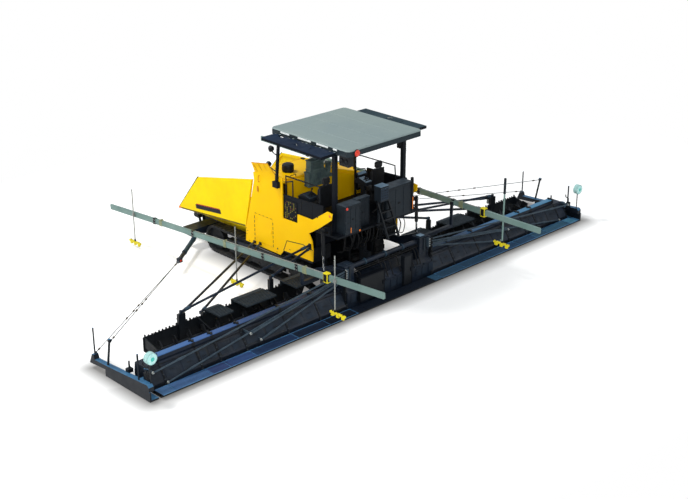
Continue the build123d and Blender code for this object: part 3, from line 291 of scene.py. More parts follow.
finishes = {
    # two-pack enamel sprayed on sheet steel: even colour, clear gloss, faint waves in the sheet
    "body_enamel": {"colour": "#FCC900", "shade": "#F9C100", "rough": (0.38, 0.5), "specular": 0.1,
        "grain": (420, 1.6), "wear": ("#8A8A84", 5)},
    "hopper_enamel": {"colour": "#FADB06", "shade": "#F6D204", "rough": (0.4, 0.52), "specular": 0.1,
        "grain": (500, 2.0), "dust": ("#B98E1C", 0.35), "wear": ("#77736A", 6)},
    # black semi-gloss enamel: small sharp highlights, dust in the corners
    "black_enamel": {"colour": "#0B0E12", "shade": "#12171D", "rough": (0.36, 0.55), "coat": 0.05,
        "dust": ("#2A2B2A", 0.3), "wear": ("#5A5F63", 4)},
    "side_enamel": {"colour": "#0E1217", "shade": "#13171E", "rough": (0.4, 0.55), "grain": (380, 1.2),
        "specular": 0.1},
    # powder coat, slate grey: fine orange peel
    "slate_powder": {"colour": "#1A2026", "shade": "#1F272E", "specular": 0.15, "rough": (0.38, 0.5),
        "grain": (24, 0.5), "wear": ("#7B8085", 4)},
    # navy enamel on rolled plate, handled and dusty
    "screed_enamel": {"colour": "#0C131C", "shade": "#142031", "rough": (0.34, 0.55), "coat": 0.1,
        "patch": 600, "dust": ("#4A4B4A", 0.25), "wear": ("#5F6B78", 5)},
    "frame_enamel": {"colour": "#0A0D11", "shade": "#10161D", "rough": (0.4, 0.6), "patch": 400,
        "dust": ("#55504A", 0.4)},
    # glass-fibre gelcoat: matt, cloudy; its upright faces and underside painted dark as shade
    "roof_gelcoat": {"colour": "#7C8B8B", "shade": "#84928E", "patch": 1500, "side": "#1E2A30", "lean": 0.3,
        "rough": (0.5, 0.62), "grain": (350, 1.0)},
    # flap enamel, navy: the flaps' edges and undersides painted near black as shade
    "flap_enamel": {"colour": "#0D1C30", "shade": "#12243A", "patch": 800, "side": "#0B1018",
        "rough": (0.45, 0.6), "specular": 0.08},
    # the right flap: the same flap enamel painted lighter and greener, as painted light
    "flap_enamel_painted_light": {"colour": "#1E3038", "shade": "#283C44", "patch": 800, "side": "#0B1018",
        "rough": (0.45, 0.6), "specular": 0.1},
    # cast steel, unpainted, with ground dust
    "cast_steel": {"colour": "#15171A", "shade": "#1E2022", "metallic": 0.5, "rough": (0.5, 0.75),
        "grain": (18, 1.0), "dust": ("#5C554C", 0.45), "wear": ("#8E8F90", 6)},
    # hardened steel, rubbed bright by the mix
    "worn_steel": {"colour": "#34373B", "shade": "#25282C", "metallic": 0.85, "rough": (0.32, 0.6),
        "patch": 120, "grain": (14, 0.5)},
    "slat_steel": {"colour": "#3A3C3F", "shade": "#2A2724", "metallic": 0.8, "rough": (0.4, 0.7),
        "patch": 150, "grain": (14, 0.5)},
    # hard chrome on ground bar: a clean mirror
    "hard_chrome": {"colour": "#C9CDD1", "shade": "#BFC4C9", "metallic": 1.0, "rough": (0.08, 0.16),
        "grain": (60, 0.05)},
    # anodised aluminium extrusion: satin, with slots along it
    "anodised_profile": {"colour": "#6F8983", "shade": "#7E9690", "patch": 700, "metallic": 0.25,
        "rough": (0.38, 0.5), "ribs": ("Z", 22), "grain": (300, 1.2)},
    # zinc plate on drawn tube: pale, blotched
    "zinc_plate": {"colour": "#5E6C78", "shade": "#8B959C", "patch": 160, "metallic": 0.7,
        "rough": (0.3, 0.48), "grain": (40, 0.2)},
    "zinc_wire": {"colour": "#6E7478", "shade": "#4E5458", "patch": 90, "metallic": 0.6, "rough": (0.4, 0.55),
        "ribs": ("X", 12), "grain": (12, 0.6)},
    # galvanised tube: pale grey spangle
    "galvanised": {"colour": "#A9ABA6", "shade": "#8E918D", "patch": 30, "metallic": 0.55,
        "rough": (0.42, 0.6), "grain": (20, 0.2)},
    # moulded ABS: fine spark grain, a little see-through at the skin
    "sensor_abs": {"colour": "#E2D21E", "shade": "#D2BE22", "patch": 90, "rough": (0.42, 0.55),
        "grain": (8, 0.3)},
    # the consoles' upright and hanging faces painted near black as shade; the left console is made darker
    # than the right by the tones along X
    "console_abs": {"colour": "#8E9DAA", "shade": "#7E8F9E", "patch": 120, "side": "#14191F", "lean": 0.4,
                    "tones": [(-1.4, "#39444E"), (-0.2, "#39444E"), (0.2, "#9CB2C2"), (1.4, "#9CB2C2")],
                    "rough": (0.42, 0.55), "grain": (8, 0.3)},
    # vinyl on foam: leathery grain, soft sheen
    "seat_vinyl": {"colour": "#0C0D10", "shade": "#121418", "patch": 90, "rough": (0.45, 0.6),
        "grain": (9, 0.9), "bump": 0.8, "surface": {"Sheen Weight": 0.15}},
    # heat-resisting paint on the ducts: chalky, discoloured
    "heat_paint": {"colour": "#47585A", "shade": "#5C6D69", "patch": 170, "rough": (0.55, 0.75),
        "grain": (30, 0.8), "dust": ("#7A7F78", 0.4)},
    "grey_castings": {"colour": "#171B20", "shade": "#22282E", "patch": 140, "rough": (0.5, 0.7),
        "grain": (12, 1.0), "dust": ("#57524B", 0.3)},
    # tread plate, painted blue: raised lozenges; its blue steps from section to section, lighter toward the
    # outer ends and darkest left of the middle, as painted light and shade; its edges painted near black as
    # shade
    "tread_plate": {"colour": "#C8CCD4", "shade": "#A8AFBC", "patch": 260, "rough": (0.4, 0.55), "tread": 90,
    "grain": (120, 3.0), "bump": 0.7,
                    "side": "#080B0F", "steps": "CONSTANT", "mottle": 0.5,
                    "tones": [(-7.6, "#46698F"), (-6.9, "#43638C"), (-5.92, "#34456E"), (-5.4, "#35507F"),
                    (-4.65, "#253C5E"), (-3.4, "#18263A"),
                              (-2.4, "#131D2B"), (-1.2, "#141E2B"), (1.2, "#3A6480"), (1.5, "#365A74"), (2.4,
                                  "#32546E"), (3.4, "#2E4E6C"),
                              (4.65, "#2C4C68"), (5.4, "#35586E"), (5.92, "#365E74"), (6.9, "#4A8098"),
                              (7.6, "#4A8098")]},
    # navy enamel, painted lighter blue along the outer lengths and darker in the middle: painted light and
    # shade along X; its upright and hanging faces painted dark as shade
    "chord_enamel": {"colour": "#C8CCD4", "shade": "#9EA8B8", "patch": 420, "rough": (0.36, 0.5), "coat": 0.1,
    "mottle": 0.5, "lean": 0.25, "side": "#121C2A",
                     "tones": [(-7.0, "#4C78AA"), (-5.6, "#41659C"), (-4.4, "#32517F"), (-3.0, "#1F3654"),
                     (-1.6, "#172535"),
                               (1.6, "#243E58"), (3.2, "#2E567C"), (4.6, "#3F7198"), (5.8, "#4F8AAE"),
                               (7.0, "#4F8AAE")]},
    # end gate enamel: blue-grey tops over near-black upright and hanging faces, partly a black side plate
    # under a blue rail and partly painted shade
    "rail_enamel": {"colour": "#3D6D92", "shade": "#2F5878", "patch": 300, "rough": (0.36, 0.5),
        "side": "#10161E", "lean": 0.5, "wear": ("#7B8085", 5)},
    # moulded acrylic and polycarbonate lenses: bright body colour behind a clear skin
    "red_lens": {"colour": "#E23A1B", "shade": "#C8260F", "patch": 40, "rough": (0.12, 0.2), "coat": 0.8,
        "grain": (6, 0.2)},
    "amber_lens": {"colour": "#F58A1A", "shade": "#E2700C", "patch": 40, "rough": (0.12, 0.2), "coat": 0.8,
        "grain": (6, 0.2)},
    "lamp_lens": {"colour": "#BFEAE6", "shade": "#9FDAD6", "patch": 40, "rough": (0.1, 0.2), "coat": 0.8,
        "ribs": ("Z", 12), "grain": (20, 0.8)},
    # brushed stainless sheet, a little straw-coloured by heat
    "stainless": {"colour": "#C9CCCB", "shade": "#B9B3A4", "patch": 120, "metallic": 0.9,
        "rough": (0.24, 0.4), "grain": (10, 0.2)},
    # braided rubber hose: matt, ribbed along its length
    "rubber": {"colour": "#0B0C0E", "shade": "#131416", "patch": 60, "rough": (0.55, 0.75), "grain": (5, 0.3),
        "dust": ("#3E3B37", 0.3)},
    # the body yellow painted darker orange for parts inside and below the ear, which face away from the
    # light: painted shade
    "ear_shade_enamel": {"colour": "#D8970F", "shade": "#C27F0E", "patch": 300, "rough": (0.4, 0.55),
        "grain": (420, 1.6)},
    # dark olive for the strip along the wing's lower edge: painted shade of the wing's underside, with dust
    # on it
    "wing_edge": {"colour": "#6E5A12", "shade": "#4A4016", "patch": 260, "rough": (0.5, 0.7),
        "grain": (60, 1.0), "dust": ("#4B463A", 0.5)},
    # screen-printed film laid on the enamel: thin and matt
    "band_dark": {"colour": "#15131C", "shade": "#1C1722", "patch": 300, "rough": (0.4, 0.5),
        "grain": (200, 0.1)},
    "band_red": {"colour": "#B51F26", "shade": "#A01A24", "patch": 300, "rough": (0.4, 0.5),
        "grain": (200, 0.1)},
    # glass-filled nylon and painted pressings of the seat frame
    "seat_frame": {"colour": "#0D0E11", "shade": "#15171A", "patch": 80, "rough": (0.45, 0.6),
        "grain": (7, 0.4)},
    "screen_glass": {"colour": "#0A1217", "shade": "#0E1A20", "patch": 60, "rough": (0.06, 0.1), "coat": 1.0,
        "grain": (60, 0.02)},
    # the same powder coat painted lighter on the cabinets' lids and top edges: painted highlight
    "slate_top_highlight": {"colour": "#46525C", "shade": "#39434C", "patch": 120, "rough": (0.4, 0.55),
        "grain": (24, 0.5)},
    # pale blue-grey tops over near-black upright faces: partly a second paint colour, partly painted shade
    "lid_enamel": {"colour": "#86A0B4", "shade": "#6E8CA4", "patch": 160, "side": "#1C2A38", "lean": 0.5,
        "rough": (0.4, 0.55), "grain": (120, 0.8)},
    "cover_enamel": {"colour": "#131C27", "shade": "#1B2836", "patch": 260, "rough": (0.42, 0.6),
        "grain": (200, 1.0), "dust": ("#4A4A48", 0.25), "wear": ("#5F6B78", 5)},
    "lip_enamel": {"colour": "#4E7FA6", "shade": "#3B6690", "patch": 300, "rough": (0.4, 0.55),
        "grain": (120, 0.6)},
    "rod_paint": {"colour": "#2C3943", "shade": "#3A4852", "patch": 120, "rough": (0.4, 0.55),
        "grain": (60, 0.4)},
    "lamp_shell": {"colour": "#A9CFCB", "shade": "#93BDB9", "patch": 60, "rough": (0.4, 0.5),
        "grain": (12, 0.3)},
    "teal_lens": {"colour": "#3FB5A8", "shade": "#4CC4B6", "patch": 30, "rough": (0.12, 0.2), "coat": 0.6,
        "grain": (6, 0.2)},
    "sleeve_brown": {"colour": "#5A4F44", "shade": "#463E36", "patch": 40, "rough": (0.5, 0.7),
        "grain": (10, 0.4)},
    "sleeve_blue": {"colour": "#2B4150", "shade": "#223544", "patch": 200, "rough": (0.4, 0.55),
        "grain": (120, 0.5)},
    "knob_olive": {"colour": "#8A7F2E", "shade": "#6E6A2A", "patch": 30, "rough": (0.4, 0.55),
        "grain": (8, 0.2)},
    "dial_brown": {"colour": "#6A3A20", "shade": "#4E3A24", "patch": 30, "rough": (0.3, 0.45),
        "grain": (8, 0.2)},
    # near-white sheet for the strips at the roof's left edge: painted light, the white seen through the slots
    # between roof and flap
    "slot_light_paint": {"colour": "#F2F5F4", "shade": "#E6ECEA", "patch": 120, "rough": (0.3, 0.4),
        "grain": (60, 0.2)},
    "sleeve_olive": {"colour": "#8C9170", "shade": "#7B8468", "patch": 60, "rough": (0.4, 0.55),
        "grain": (20, 0.3)},
    # bar grating, dip-painted
    "grating_steel": {"colour": "#20282E", "shade": "#2A333A", "patch": 80, "rough": (0.5, 0.7),
        "grain": (12, 0.5), "wear": ("#6B7278", 4)},
    "mast_grip": {"colour": "#232B32", "shade": "#1B2228", "patch": 80, "rough": (0.45, 0.6),
        "grain": (14, 0.4)},
}
materials = {name: makeFinish(name, look) for name, look in finishes.items()}

nodeFinish = {
    "chassis": "frame_enamel", "track_left": "cast_steel", "track_right": "cast_steel",
    "track_frames": "frame_enamel",
    "conveyors": "slat_steel", "hopper_wing_left": "hopper_enamel", "hopper_wing_right": "hopper_enamel",
    "hopper_back": "body_enamel",
    "push_beam": "black_enamel", "push_roller_left": "worn_steel", "push_roller_right": "worn_steel",
    "side_panels": "body_enamel",
    "side_door_left": "body_enamel", "side_door_right": "body_enamel", "hood": "body_enamel",
    "engine_wall": "body_enamel",
    "engine": "grey_castings", "exhaust_duct": "heat_paint", "platform": "side_enamel",
    "handrails": "black_enamel",
    "seats": "seat_vinyl", "consoles": "console_abs", "rear_cabinets": "slate_powder",
    "canopy_posts": "side_enamel",
    "canopy_roof": "roof_gelcoat", "canopy_flap_left": "flap_enamel", "canopy_flap_right": "flap_enamel_painted_light",
    "auger_left": "worn_steel", "auger_right": "worn_steel", "auger_frame": "black_enamel",
    "auger_gratings": "grating_steel",
    "auger_struts": "screed_enamel", "outriggers": "screed_enamel", "sole_plates": "worn_steel",
    "screed_frame": "screed_enamel",
    "extension_boxes": "screed_enamel", "top_chords": "chord_enamel", "walkways": "tread_plate",
    "tie_rods": "rod_paint",
    "tow_arms": "screed_enamel", "end_gates": "rail_enamel", "end_lamps": "black_enamel",
    "stay_wires": "zinc_wire",
    "screed_controls": "black_enamel", "lift_barrel_left": "black_enamel",
    "lift_barrel_right": "black_enamel",
    "lift_rod_left": "hard_chrome", "lift_rod_right": "hard_chrome",
    "levelling_beam_left": "anodised_profile",
    "levelling_beam_right": "anodised_profile", "sensor_masts_left": "galvanised",
    "sensor_masts_right": "galvanised",
}
for name, finish in nodeFinish.items():
    nodes[name].data.materials.clear()
    nodes[name].data.materials.append(materials[finish])
print("materials made:", len(materials))


# making meshes: all sizes in millimetres, lengths along Y counted from the screed's rear edge
def addBox(mesh, x, y, z):
    corners = [mesh.verts.new((a, b, c)) for a in x for b in y for c in z]
    for face in ((0, 1, 3, 2), (4, 6, 7, 5), (0, 4, 5, 1), (2, 3, 7, 6), (0, 2, 6, 4), (1, 5, 7, 3)):
        mesh.faces.new([corners[i] for i in face])


def addPlate(mesh, outline, axis, limits):
    order = {"x": lambda a, b, c: (c, a, b), "y": lambda a, b, c: (a, c, b), "z": lambda a, b,
        c: (a, b, c)}[axis]
    rings = [[mesh.verts.new(order(a, b, c)) for a, b in outline] for c in limits]
    mesh.faces.new(rings[0])
    mesh.faces.new(rings[1])
    for i in range(len(outline)):
        j = (i + 1) % len(outline)
        mesh.faces.new((rings[0][i], rings[0][j], rings[1][j], rings[1][i]))


def addTube(mesh, points, radius, sides=12, open=False):
    points = [Vector(p) for p in points]
    rings = []
    turned = None
    for i, point in enumerate(points):
        ahead = (points[min(i + 1, len(points) - 1)] - points[max(i - 1, 0)]).normalized()
        if turned is None:
            turned = ahead.orthogonal().normalized()
        turned = (turned - ahead * turned.dot(ahead)).normalized()
        other = ahead.cross(turned)
        size = radius[i] if isinstance(radius, (list, tuple)) else radius
        turns = [2 * math.pi * side / sides for side in range(sides)]
        rings.append([mesh.verts.new(point + turned * (size * math.cos(t)) + other * (size * math.sin(t))) for t in turns])
    for low, high in zip(rings[:-1], rings[1:]):
        for side in range(sides):
            after = (side + 1) % sides
            mesh.faces.new((low[side], low[after], high[after], high[side]))
    if not open:
        mesh.faces.new(rings[0])
        mesh.faces.new(rings[-1])


def addBar(mesh, start, end, width, height):
    start, end = Vector(start), Vector(end)
    ahead = (end - start).normalized()
    side = ahead.cross(Vector((0, 0, 1)) if abs(ahead.z) < 0.98 else Vector((0, 1, 0))).normalized()
    up = side.cross(ahead)
    rings = []
    for point in (start, end):
        rings.append([mesh.verts.new(point + side * (a * width / 2) + up * (b * height / 2)) for a,
            b in ((-1, -1), (1, -1), (1, 1), (-1, 1))])
    mesh.faces.new(rings[0])
    mesh.faces.new(rings[1])
    for i in range(4):
        j = (i + 1) % 4
        mesh.faces.new((rings[0][i], rings[0][j], rings[1][j], rings[1][i]))


def addTurned(mesh, centre, ahead, profile, sides=24):
    ahead = Vector(ahead).normalized()   # a turned piece: (distance along its axis, radius) for each edge
    points = [Vector(centre) + ahead * along for along, _ in profile]
    side = ahead.orthogonal().normalized()
    other = ahead.cross(side)
    turns = [2 * math.pi * i / sides for i in range(sides)]
    rings = [[mesh.verts.new(point + (side * math.cos(t) + other * math.sin(t)) * max(radius,
        0.1)) for t in turns]
             for point, (_, radius) in zip(points, profile)]
    for low, high in zip(rings[:-1], rings[1:]):
        for i in range(sides):
            j = (i + 1) % sides
            mesh.faces.new((low[i], low[j], high[j], high[i]))
    mesh.faces.new(rings[0])
    mesh.faces.new(rings[-1])


def addBolt(mesh, place, ahead, size=24):
    addTurned(mesh, place, ahead, [(0, size * 0.9), (size * 0.15, size * 0.9)], 12)
    addTurned(mesh, Vector(place) + Vector(ahead).normalized() * size * 0.15, ahead,
        [(0, size * 0.55), (size * 0.4, size * 0.55)], 6)


def rounded(points, cut=0.3, steps=5):
    points = [Vector(p) for p in points]   # a polyline with its corners turned into smooth bends
    path = [points[0]]
    for before, corner, after in zip(points[:-2], points[1:-1], points[2:]):
        start, end = corner.lerp(before, cut), corner.lerp(after, cut)
        for step in range(steps + 1):
            share = step / steps
            path.append(start.lerp(corner, share).lerp(corner.lerp(end, share), share))
    return path + [points[-1]]


def makePiece(name, mesh, finish, body, soften=0, smooth=35):
    bmesh.ops.recalc_face_normals(mesh, faces=mesh.faces[:])
    bmesh.ops.transform(mesh, matrix=Matrix.Translation((0, rearY, 0)) @ Matrix.Scale(0.001, 4),
        verts=mesh.verts[:])
    data = bpy.data.meshes.new(name)
    mesh.to_mesh(data)
    mesh.free()
    for polygon in data.polygons:
        polygon.use_smooth = True
    data.set_sharp_from_angle(angle=math.radians(smooth))
    data.materials.append(materials[finish])
    piece = bpy.data.objects.new(name, data)
    bpy.context.scene.collection.objects.link(piece)
    if soften:
        bevel = piece.modifiers.new("edge_radius", "BEVEL")
        bevel.width = soften / 1000
        bevel.segments = 2
        bevel.limit_method = "ANGLE"
        bevel.angle_limit = math.radians(40)
        bevel.harden_normals = True
    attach(piece, body)
    return piece


# canopy: lamps, roof rear lamp box, link plates
canopy = {"lampX": -1000, "fasciaY": 507, "fasciaZ": 3857, "boxX": (-1165, -985), "boxY": (620, 930),
    "boxZ": (3500, 3770)}
mesh = bmesh.new()
addTurned(mesh, (canopy["lampX"], canopy["fasciaY"] + 6, canopy["fasciaZ"]), (0, -1, 0),
    [(0, 92), (26, 92), (26, 84), (30, 84)])
makePiece("roof_lamp_body", mesh, "black_enamel", "tractor", 3)
mesh = bmesh.new()
addTurned(mesh, (canopy["lampX"], canopy["fasciaY"] - 18, canopy["fasciaZ"]), (0, -1, 0),
    [(0, 82), (8, 82), (24, 72), (34, 52), (38, 20), (39, 2)])
makePiece("roof_lamp_lens", mesh, "red_lens", "tractor")
mesh = bmesh.new()   # the work lamp box that hangs under the roof's rear left corner
addBox(mesh, canopy["boxX"], canopy["boxY"], canopy["boxZ"])
addBox(mesh, (-1130, -1020), (660, 890), (3766, 3800))
for y in (700, 850):
    addTurned(mesh, (-1165, y, 3630), (-1, 0, 0), [(0, 62), (22, 62), (22, 54), (8, 50), (8, 2)])
makePiece("roof_work_lamps", mesh, "black_enamel", "tractor", 8)
mesh = bmesh.new()
for x, y in ((1190, 1170), (1190, 1240)):
    addTube(mesh, [(x, y, 3700), (x, y, 3440)], 34, 16)
addBox(mesh, (1150, 1260), (1150, 1260), (3330, 3480))
addTube(mesh, rounded([(1200, 1100, 3120), (1290, 1130, 3120), (1290, 1130, 3240)]), 16, 8)
addTurned(mesh, (1290, 1130, 3240), (0, -0.8, -0.3), [(-60, 30), (-30, 62), (10, 66), (12, 56)])
makePiece("roof_post_gear", mesh, "black_enamel", "tractor", 5)
mesh = bmesh.new()   # seam ribs along the roof
for x in (-640, 0, 640):
    addPlate(mesh, [(x - 16, 3948), (x - 9, 3956), (x + 9, 3956), (x + 16, 3948)], "y", (560, 3215))
makePiece("roof_seams", mesh, "roof_gelcoat", "tractor")
mesh = bmesh.new()   # pale strips along the roof's left edge: painted light for the white seen through the slots between roof and flap
for low, high in ((2560, 2880), (1790, 2250), (1190, 1590), (890, 1020)):
    addBox(mesh, (-1280, -1268), (low, high), (3876, 3918))
makePiece("roof_light_strips", mesh, "slot_light_paint", "tractor", 4)
for side, word in ((-1, "left"), (1, "right")):
    mesh = bmesh.new()   # stiffening flanges and the stay under each flap, and its latch plates
    for y in (1180, 1660, 2140, 2560):
        addPlate(mesh, [(side * 1372, 3792), (side * 1790, 3792), (side * 1780, 3776), (side * 1400, 3760)],
            "y", (y - 5, y + 5))
    addPlate(mesh, [(side * 1779, 3784), (side * 1800, 3784), (side * 1800, 3796), (side * 1779, 3796)], "y",
        (860, 2990))
    for y in (1500, 2000):
        addBox(mesh, (side * 1520, side * 1620), (y, y + 14), (3857, 3866))
    makePiece(f"flap_ribs_{word}", mesh, "flap_enamel" if side < 0 else "flap_enamel_painted_light", f"canopy_flap_{word}", 2)
    mesh = bmesh.new()
    addTube(mesh, rounded([(side * 1560, 1990, 3862), (side * 1600, 1930, 3874), (side * 1640, 1880, 3862)]),
        7, 8)
    for y in range(1010, 3000, 480):
        addBolt(mesh, (side * 1362, y + 12, 3857), (0, 0, 1), 11)
        addBolt(mesh, (side * 1362, y + 40, 3857), (0, 0, 1), 11)
    makePiece(f"flap_fittings_{word}", mesh, "galvanised", f"canopy_flap_{word}")
mesh = bmesh.new()   # lamps on bent arms at the left front post
addTube(mesh, rounded([(-1517, 2720, 3390), (-1500, 2880, 3400), (-1500, 2965, 3460)]), 14, 8)
addTurned(mesh, (-1500, 2990, 3500), (-0.25, 1, -0.3), [(-70, 20), (-62, 52), (-10, 80), (22, 82), (24, 72)],
    20)
addTube(mesh, rounded([(-1532, 2740, 2960), (-1520, 2900, 2985), (-1500, 3060, 3020)]), 13, 8)
addTurned(mesh, (-1500, 3090, 3080), (-0.2, 1, -0.25), [(-64, 20), (-56, 48), (-8, 74), (20, 76), (22, 66)],
    20)
for x in (-1590, -1520):
    for y in (2710, 2840):
        addBolt(mesh, (x - 2, y, 2600), (-1, 0, 0), 14)
makePiece("post_lamps", mesh, "black_enamel", "tractor", 3)
mesh = bmesh.new()
addTurned(mesh, (-1506, 3012, 3493), (-0.25, 1, -0.3), [(0, 70), (6, 66), (9, 2)], 20)
addTurned(mesh, (-1504, 3110, 3075), (-0.2, 1, -0.25), [(0, 64), (6, 60), (9, 2)], 20)
makePiece("post_lamp_lenses", mesh, "lamp_lens", "tractor")
print("canopy dressed")


# hood and exhaust: air cleaner cap, duct flanges, silencer
mesh = bmesh.new()
addTurned(mesh, (-860, 3100, 2690), (0, 0, 1),
    [(0, 92), (40, 92), (52, 128), (60, 150), (214, 150), (236, 142), (252, 112), (258, 40), (260, 2)], 28)
for i in range(18):
    turn = 2 * math.pi * i / 18
    addBox(mesh, (-862 + 150 * math.cos(turn), -858 + 150 * math.cos(turn)),
        (3098 + 150 * math.sin(turn), 3102 + 150 * math.sin(turn)), (2765, 2895))
addBox(mesh, (-900, -820), (2960, 3010), (2716, 2790))
makePiece("air_cleaner_cap", mesh, "black_enamel", "hood", 0)
mesh = bmesh.new()   # grab handles and hinge straps on the hood
for x in (-1050, -250, 350):
    z = 2740 if x < 100 else 2640
    addTube(mesh,
        rounded([(x - 90, 2700, z - 6), (x - 90, 2700, z + 42), (x + 90, 2700, z + 42 - (0 if x < 0 else 55)),
        (x + 90, 2700, z - (6 if x < 0 else 66))], 0.2), 9, 8)
for x in (-1150, -500, 60):
    addBox(mesh, (x, x + 70), (3540, 3650), (2728, 2746))
makePiece("hood_fittings", mesh, "black_enamel", "hood", 2)
mesh = bmesh.new()   # the silencer's pale heat shield, with its slots, set where the hood top shows a white highlight: partly a painted highlight
for i in range(11):
    y = 2990 + i * 52
    addPlate(mesh, [(250, 2662), (300, 2752), (640, 2640), (700, 2530), (690, 2524), (634, 2628), (306, 2738),
        (258, 2660)], "y", (y, y + 36))
for x, z in ((262, 2672), (690, 2526)):
    addBox(mesh, (x - 10, x + 14), (2985, 3550), (z - 24, z + 8))
makePiece("silencer_shield", mesh, "stainless", "hood", 0)
mesh = bmesh.new()
addTurned(mesh, (470, 3240, 2590), (0.05, 0, 1),
    [(0, 58), (210, 58), (214, 62), (232, 62), (234, 50), (180, 48)], 24)
makePiece("exhaust_stub", mesh, "heat_paint", "hood", 0)
mesh = bmesh.new()   # flanges, ribs and elbow of the fume and air ducts
for z, x0, x1 in ((2462, -775, -165), (2800, -772, -168), (2862, -712, -248), (3096, -712, -248)):
    addBox(mesh, (x0, x1), (2404, 2616), (z, z + 22))
for x in (-690, -590, -490, -390, -290):
    addBox(mesh, (x - 6, x + 6), (2409, 2421), (2490, 2780))
for z in range(2900, 3080, 36):
    addPlate(mesh, [(2402, z), (2421, z + 20), (2421, z + 24), (2400, z + 8)], "x", (-660, -300))
addTube(mesh, rounded([(-190, 2520, 2620), (-60, 2520, 2640), (10, 2560, 2740), (10, 2560, 2900)], 0.35), 74,
    20)
addTurned(mesh, (10, 2560, 2890), (0, 0, 1), [(0, 84), (26, 84)], 20)
addTube(mesh, rounded([(-480, 2510, 3118), (-480, 2510, 3190), (-480, 2700, 3236), (-480, 2860, 3236)], 0.4),
    60, 18)
addBox(mesh, (-150, 70), (2440, 2640), (2560, 2626))
makePiece("duct_details", mesh, "heat_paint", "tractor", 4)
print("hood dressed")


# body sides: door gaps and hinges, mudguard seam, ear stiffeners in painted shade, bolts
bodySide = {"outer": 1500, "doorY": (2990, 3690), "doorZ": (880, 1630), "dash": 74, "pitch": 118, "line": 15}
for side, word in ((-1, "left"), (1, "right")):
    low, high = side * bodySide["outer"], side * (bodySide["outer"] + 4)
    mesh = bmesh.new()   # shadow gaps of the engine door's hinge and latch edges, as a row of slots
    for y in (bodySide["doorY"][0] - 6, bodySide["doorY"][1] + 6):
        z = bodySide["doorZ"][0] + 10
        while z < bodySide["doorZ"][1] - 40:
            addBox(mesh, (low, high), (y - bodySide["line"] / 2, y + bodySide["line"] / 2),
                (z, z + bodySide["dash"]))
            z += bodySide["pitch"]
    y = bodySide["doorY"][0] + 30
    while y < bodySide["doorY"][1] - 60:
        addBox(mesh, (low, high), (y, y + 50), (bodySide["doorZ"][1] + 2, bodySide["doorZ"][1] + 12))
        y += 150
    for start, end in (((2590, 920), (2460, 1220)), ((2460, 1220), (1870, 1290)),
        ((1870, 1290), (1510, 1240))):
        addBar(mesh, (side * 1502, *start), (side * 1502, *end), 4, 18)
    for y, z in ((4030, 1120), (3990, 1060), (4010, 960), (3930, 800), (2850, 800), (2350, 1010)):
        addBox(mesh, (low, high), (y - 26, y + 26), (z - 5, z + 5))
    for y, z in ((1330, 2165), (2820, 900)):
        addTurned(mesh, (low, y, z), (side, 0, 0), [(0, 22), (5, 22), (5, 14), (2, 12)], 16)
    makePiece(f"body_gaps_{word}", mesh, "black_enamel", "tractor")
    mesh = bmesh.new()   # door furniture rides on the door
    for z in (1000, 1500):
        addBox(mesh, (side * 1497, side * 1507), (3580, 3644), (z - 40, z + 40))
        addTube(mesh, [(side * 1504, 3650, z - 44), (side * 1504, 3650, z + 44)], 9, 12)
    addPlate(mesh, [(3015, 1230), (3075, 1230), (3075, 1330), (3015, 1330)], "x", (side * 1498, side * 1506))
    addTube(mesh,
        rounded([(side * 1504, 3028, 1250), (side * 1526, 3034, 1262), (side * 1526, 3034, 1300),
        (side * 1504, 3028, 1312)]), 6, 8)
    makePiece(f"door_fittings_{word}", mesh, "body_enamel", f"side_door_{word}", 2)
    mesh = bmesh.new()
    addTurned(mesh, (side * 1500, 905, 2300), (side, 0, 0), [(0, 34), (6, 34), (11, 28), (13, 2)], 20)
    makePiece(f"side_reflector_{word}", mesh, "amber_lens", "tractor")
# hat-section stiffeners and gusset inside the left ear, and the folded rims of the ear's edge, in the body
# yellow painted darker orange as the ear's shade
mesh = bmesh.new()
for y, z in ((3140, 2880), (3330, 2830), (3520, 2780)):
    addBar(mesh, (-1497, y, z), (-1604, y - 6 + 40, z + 200), 26, 12)
for start, end in (((-1612, 3616, 3022), (-1612, 3006, 3132)), ((-1612, 3006, 3132), (-1500, 2848, 2852))):
    addBar(mesh, start, end, 12, 22)
makePiece("ear_stiffeners", mesh, "ear_shade_enamel", "tractor", 3)
mesh = bmesh.new()   # small hydraulic block and hand grip on the body below the ear, in the same painted shade
addBox(mesh, (-1512, -1499), (3500, 3560), (2250, 2390))
for z in (2275, 2330, 2372):
    addTurned(mesh, (-1512, 3530, z), (-1, 0, 0), [(0, 14), (10, 14), (12, 9)], 12)
addTube(mesh, rounded([(-1500, 3460, 2520), (-1540, 3460, 2530), (-1540, 3460, 2680), (-1500, 3460, 2690)],
    0.3), 10, 8)
makePiece("ear_fittings", mesh, "ear_shade_enamel", "tractor", 3)
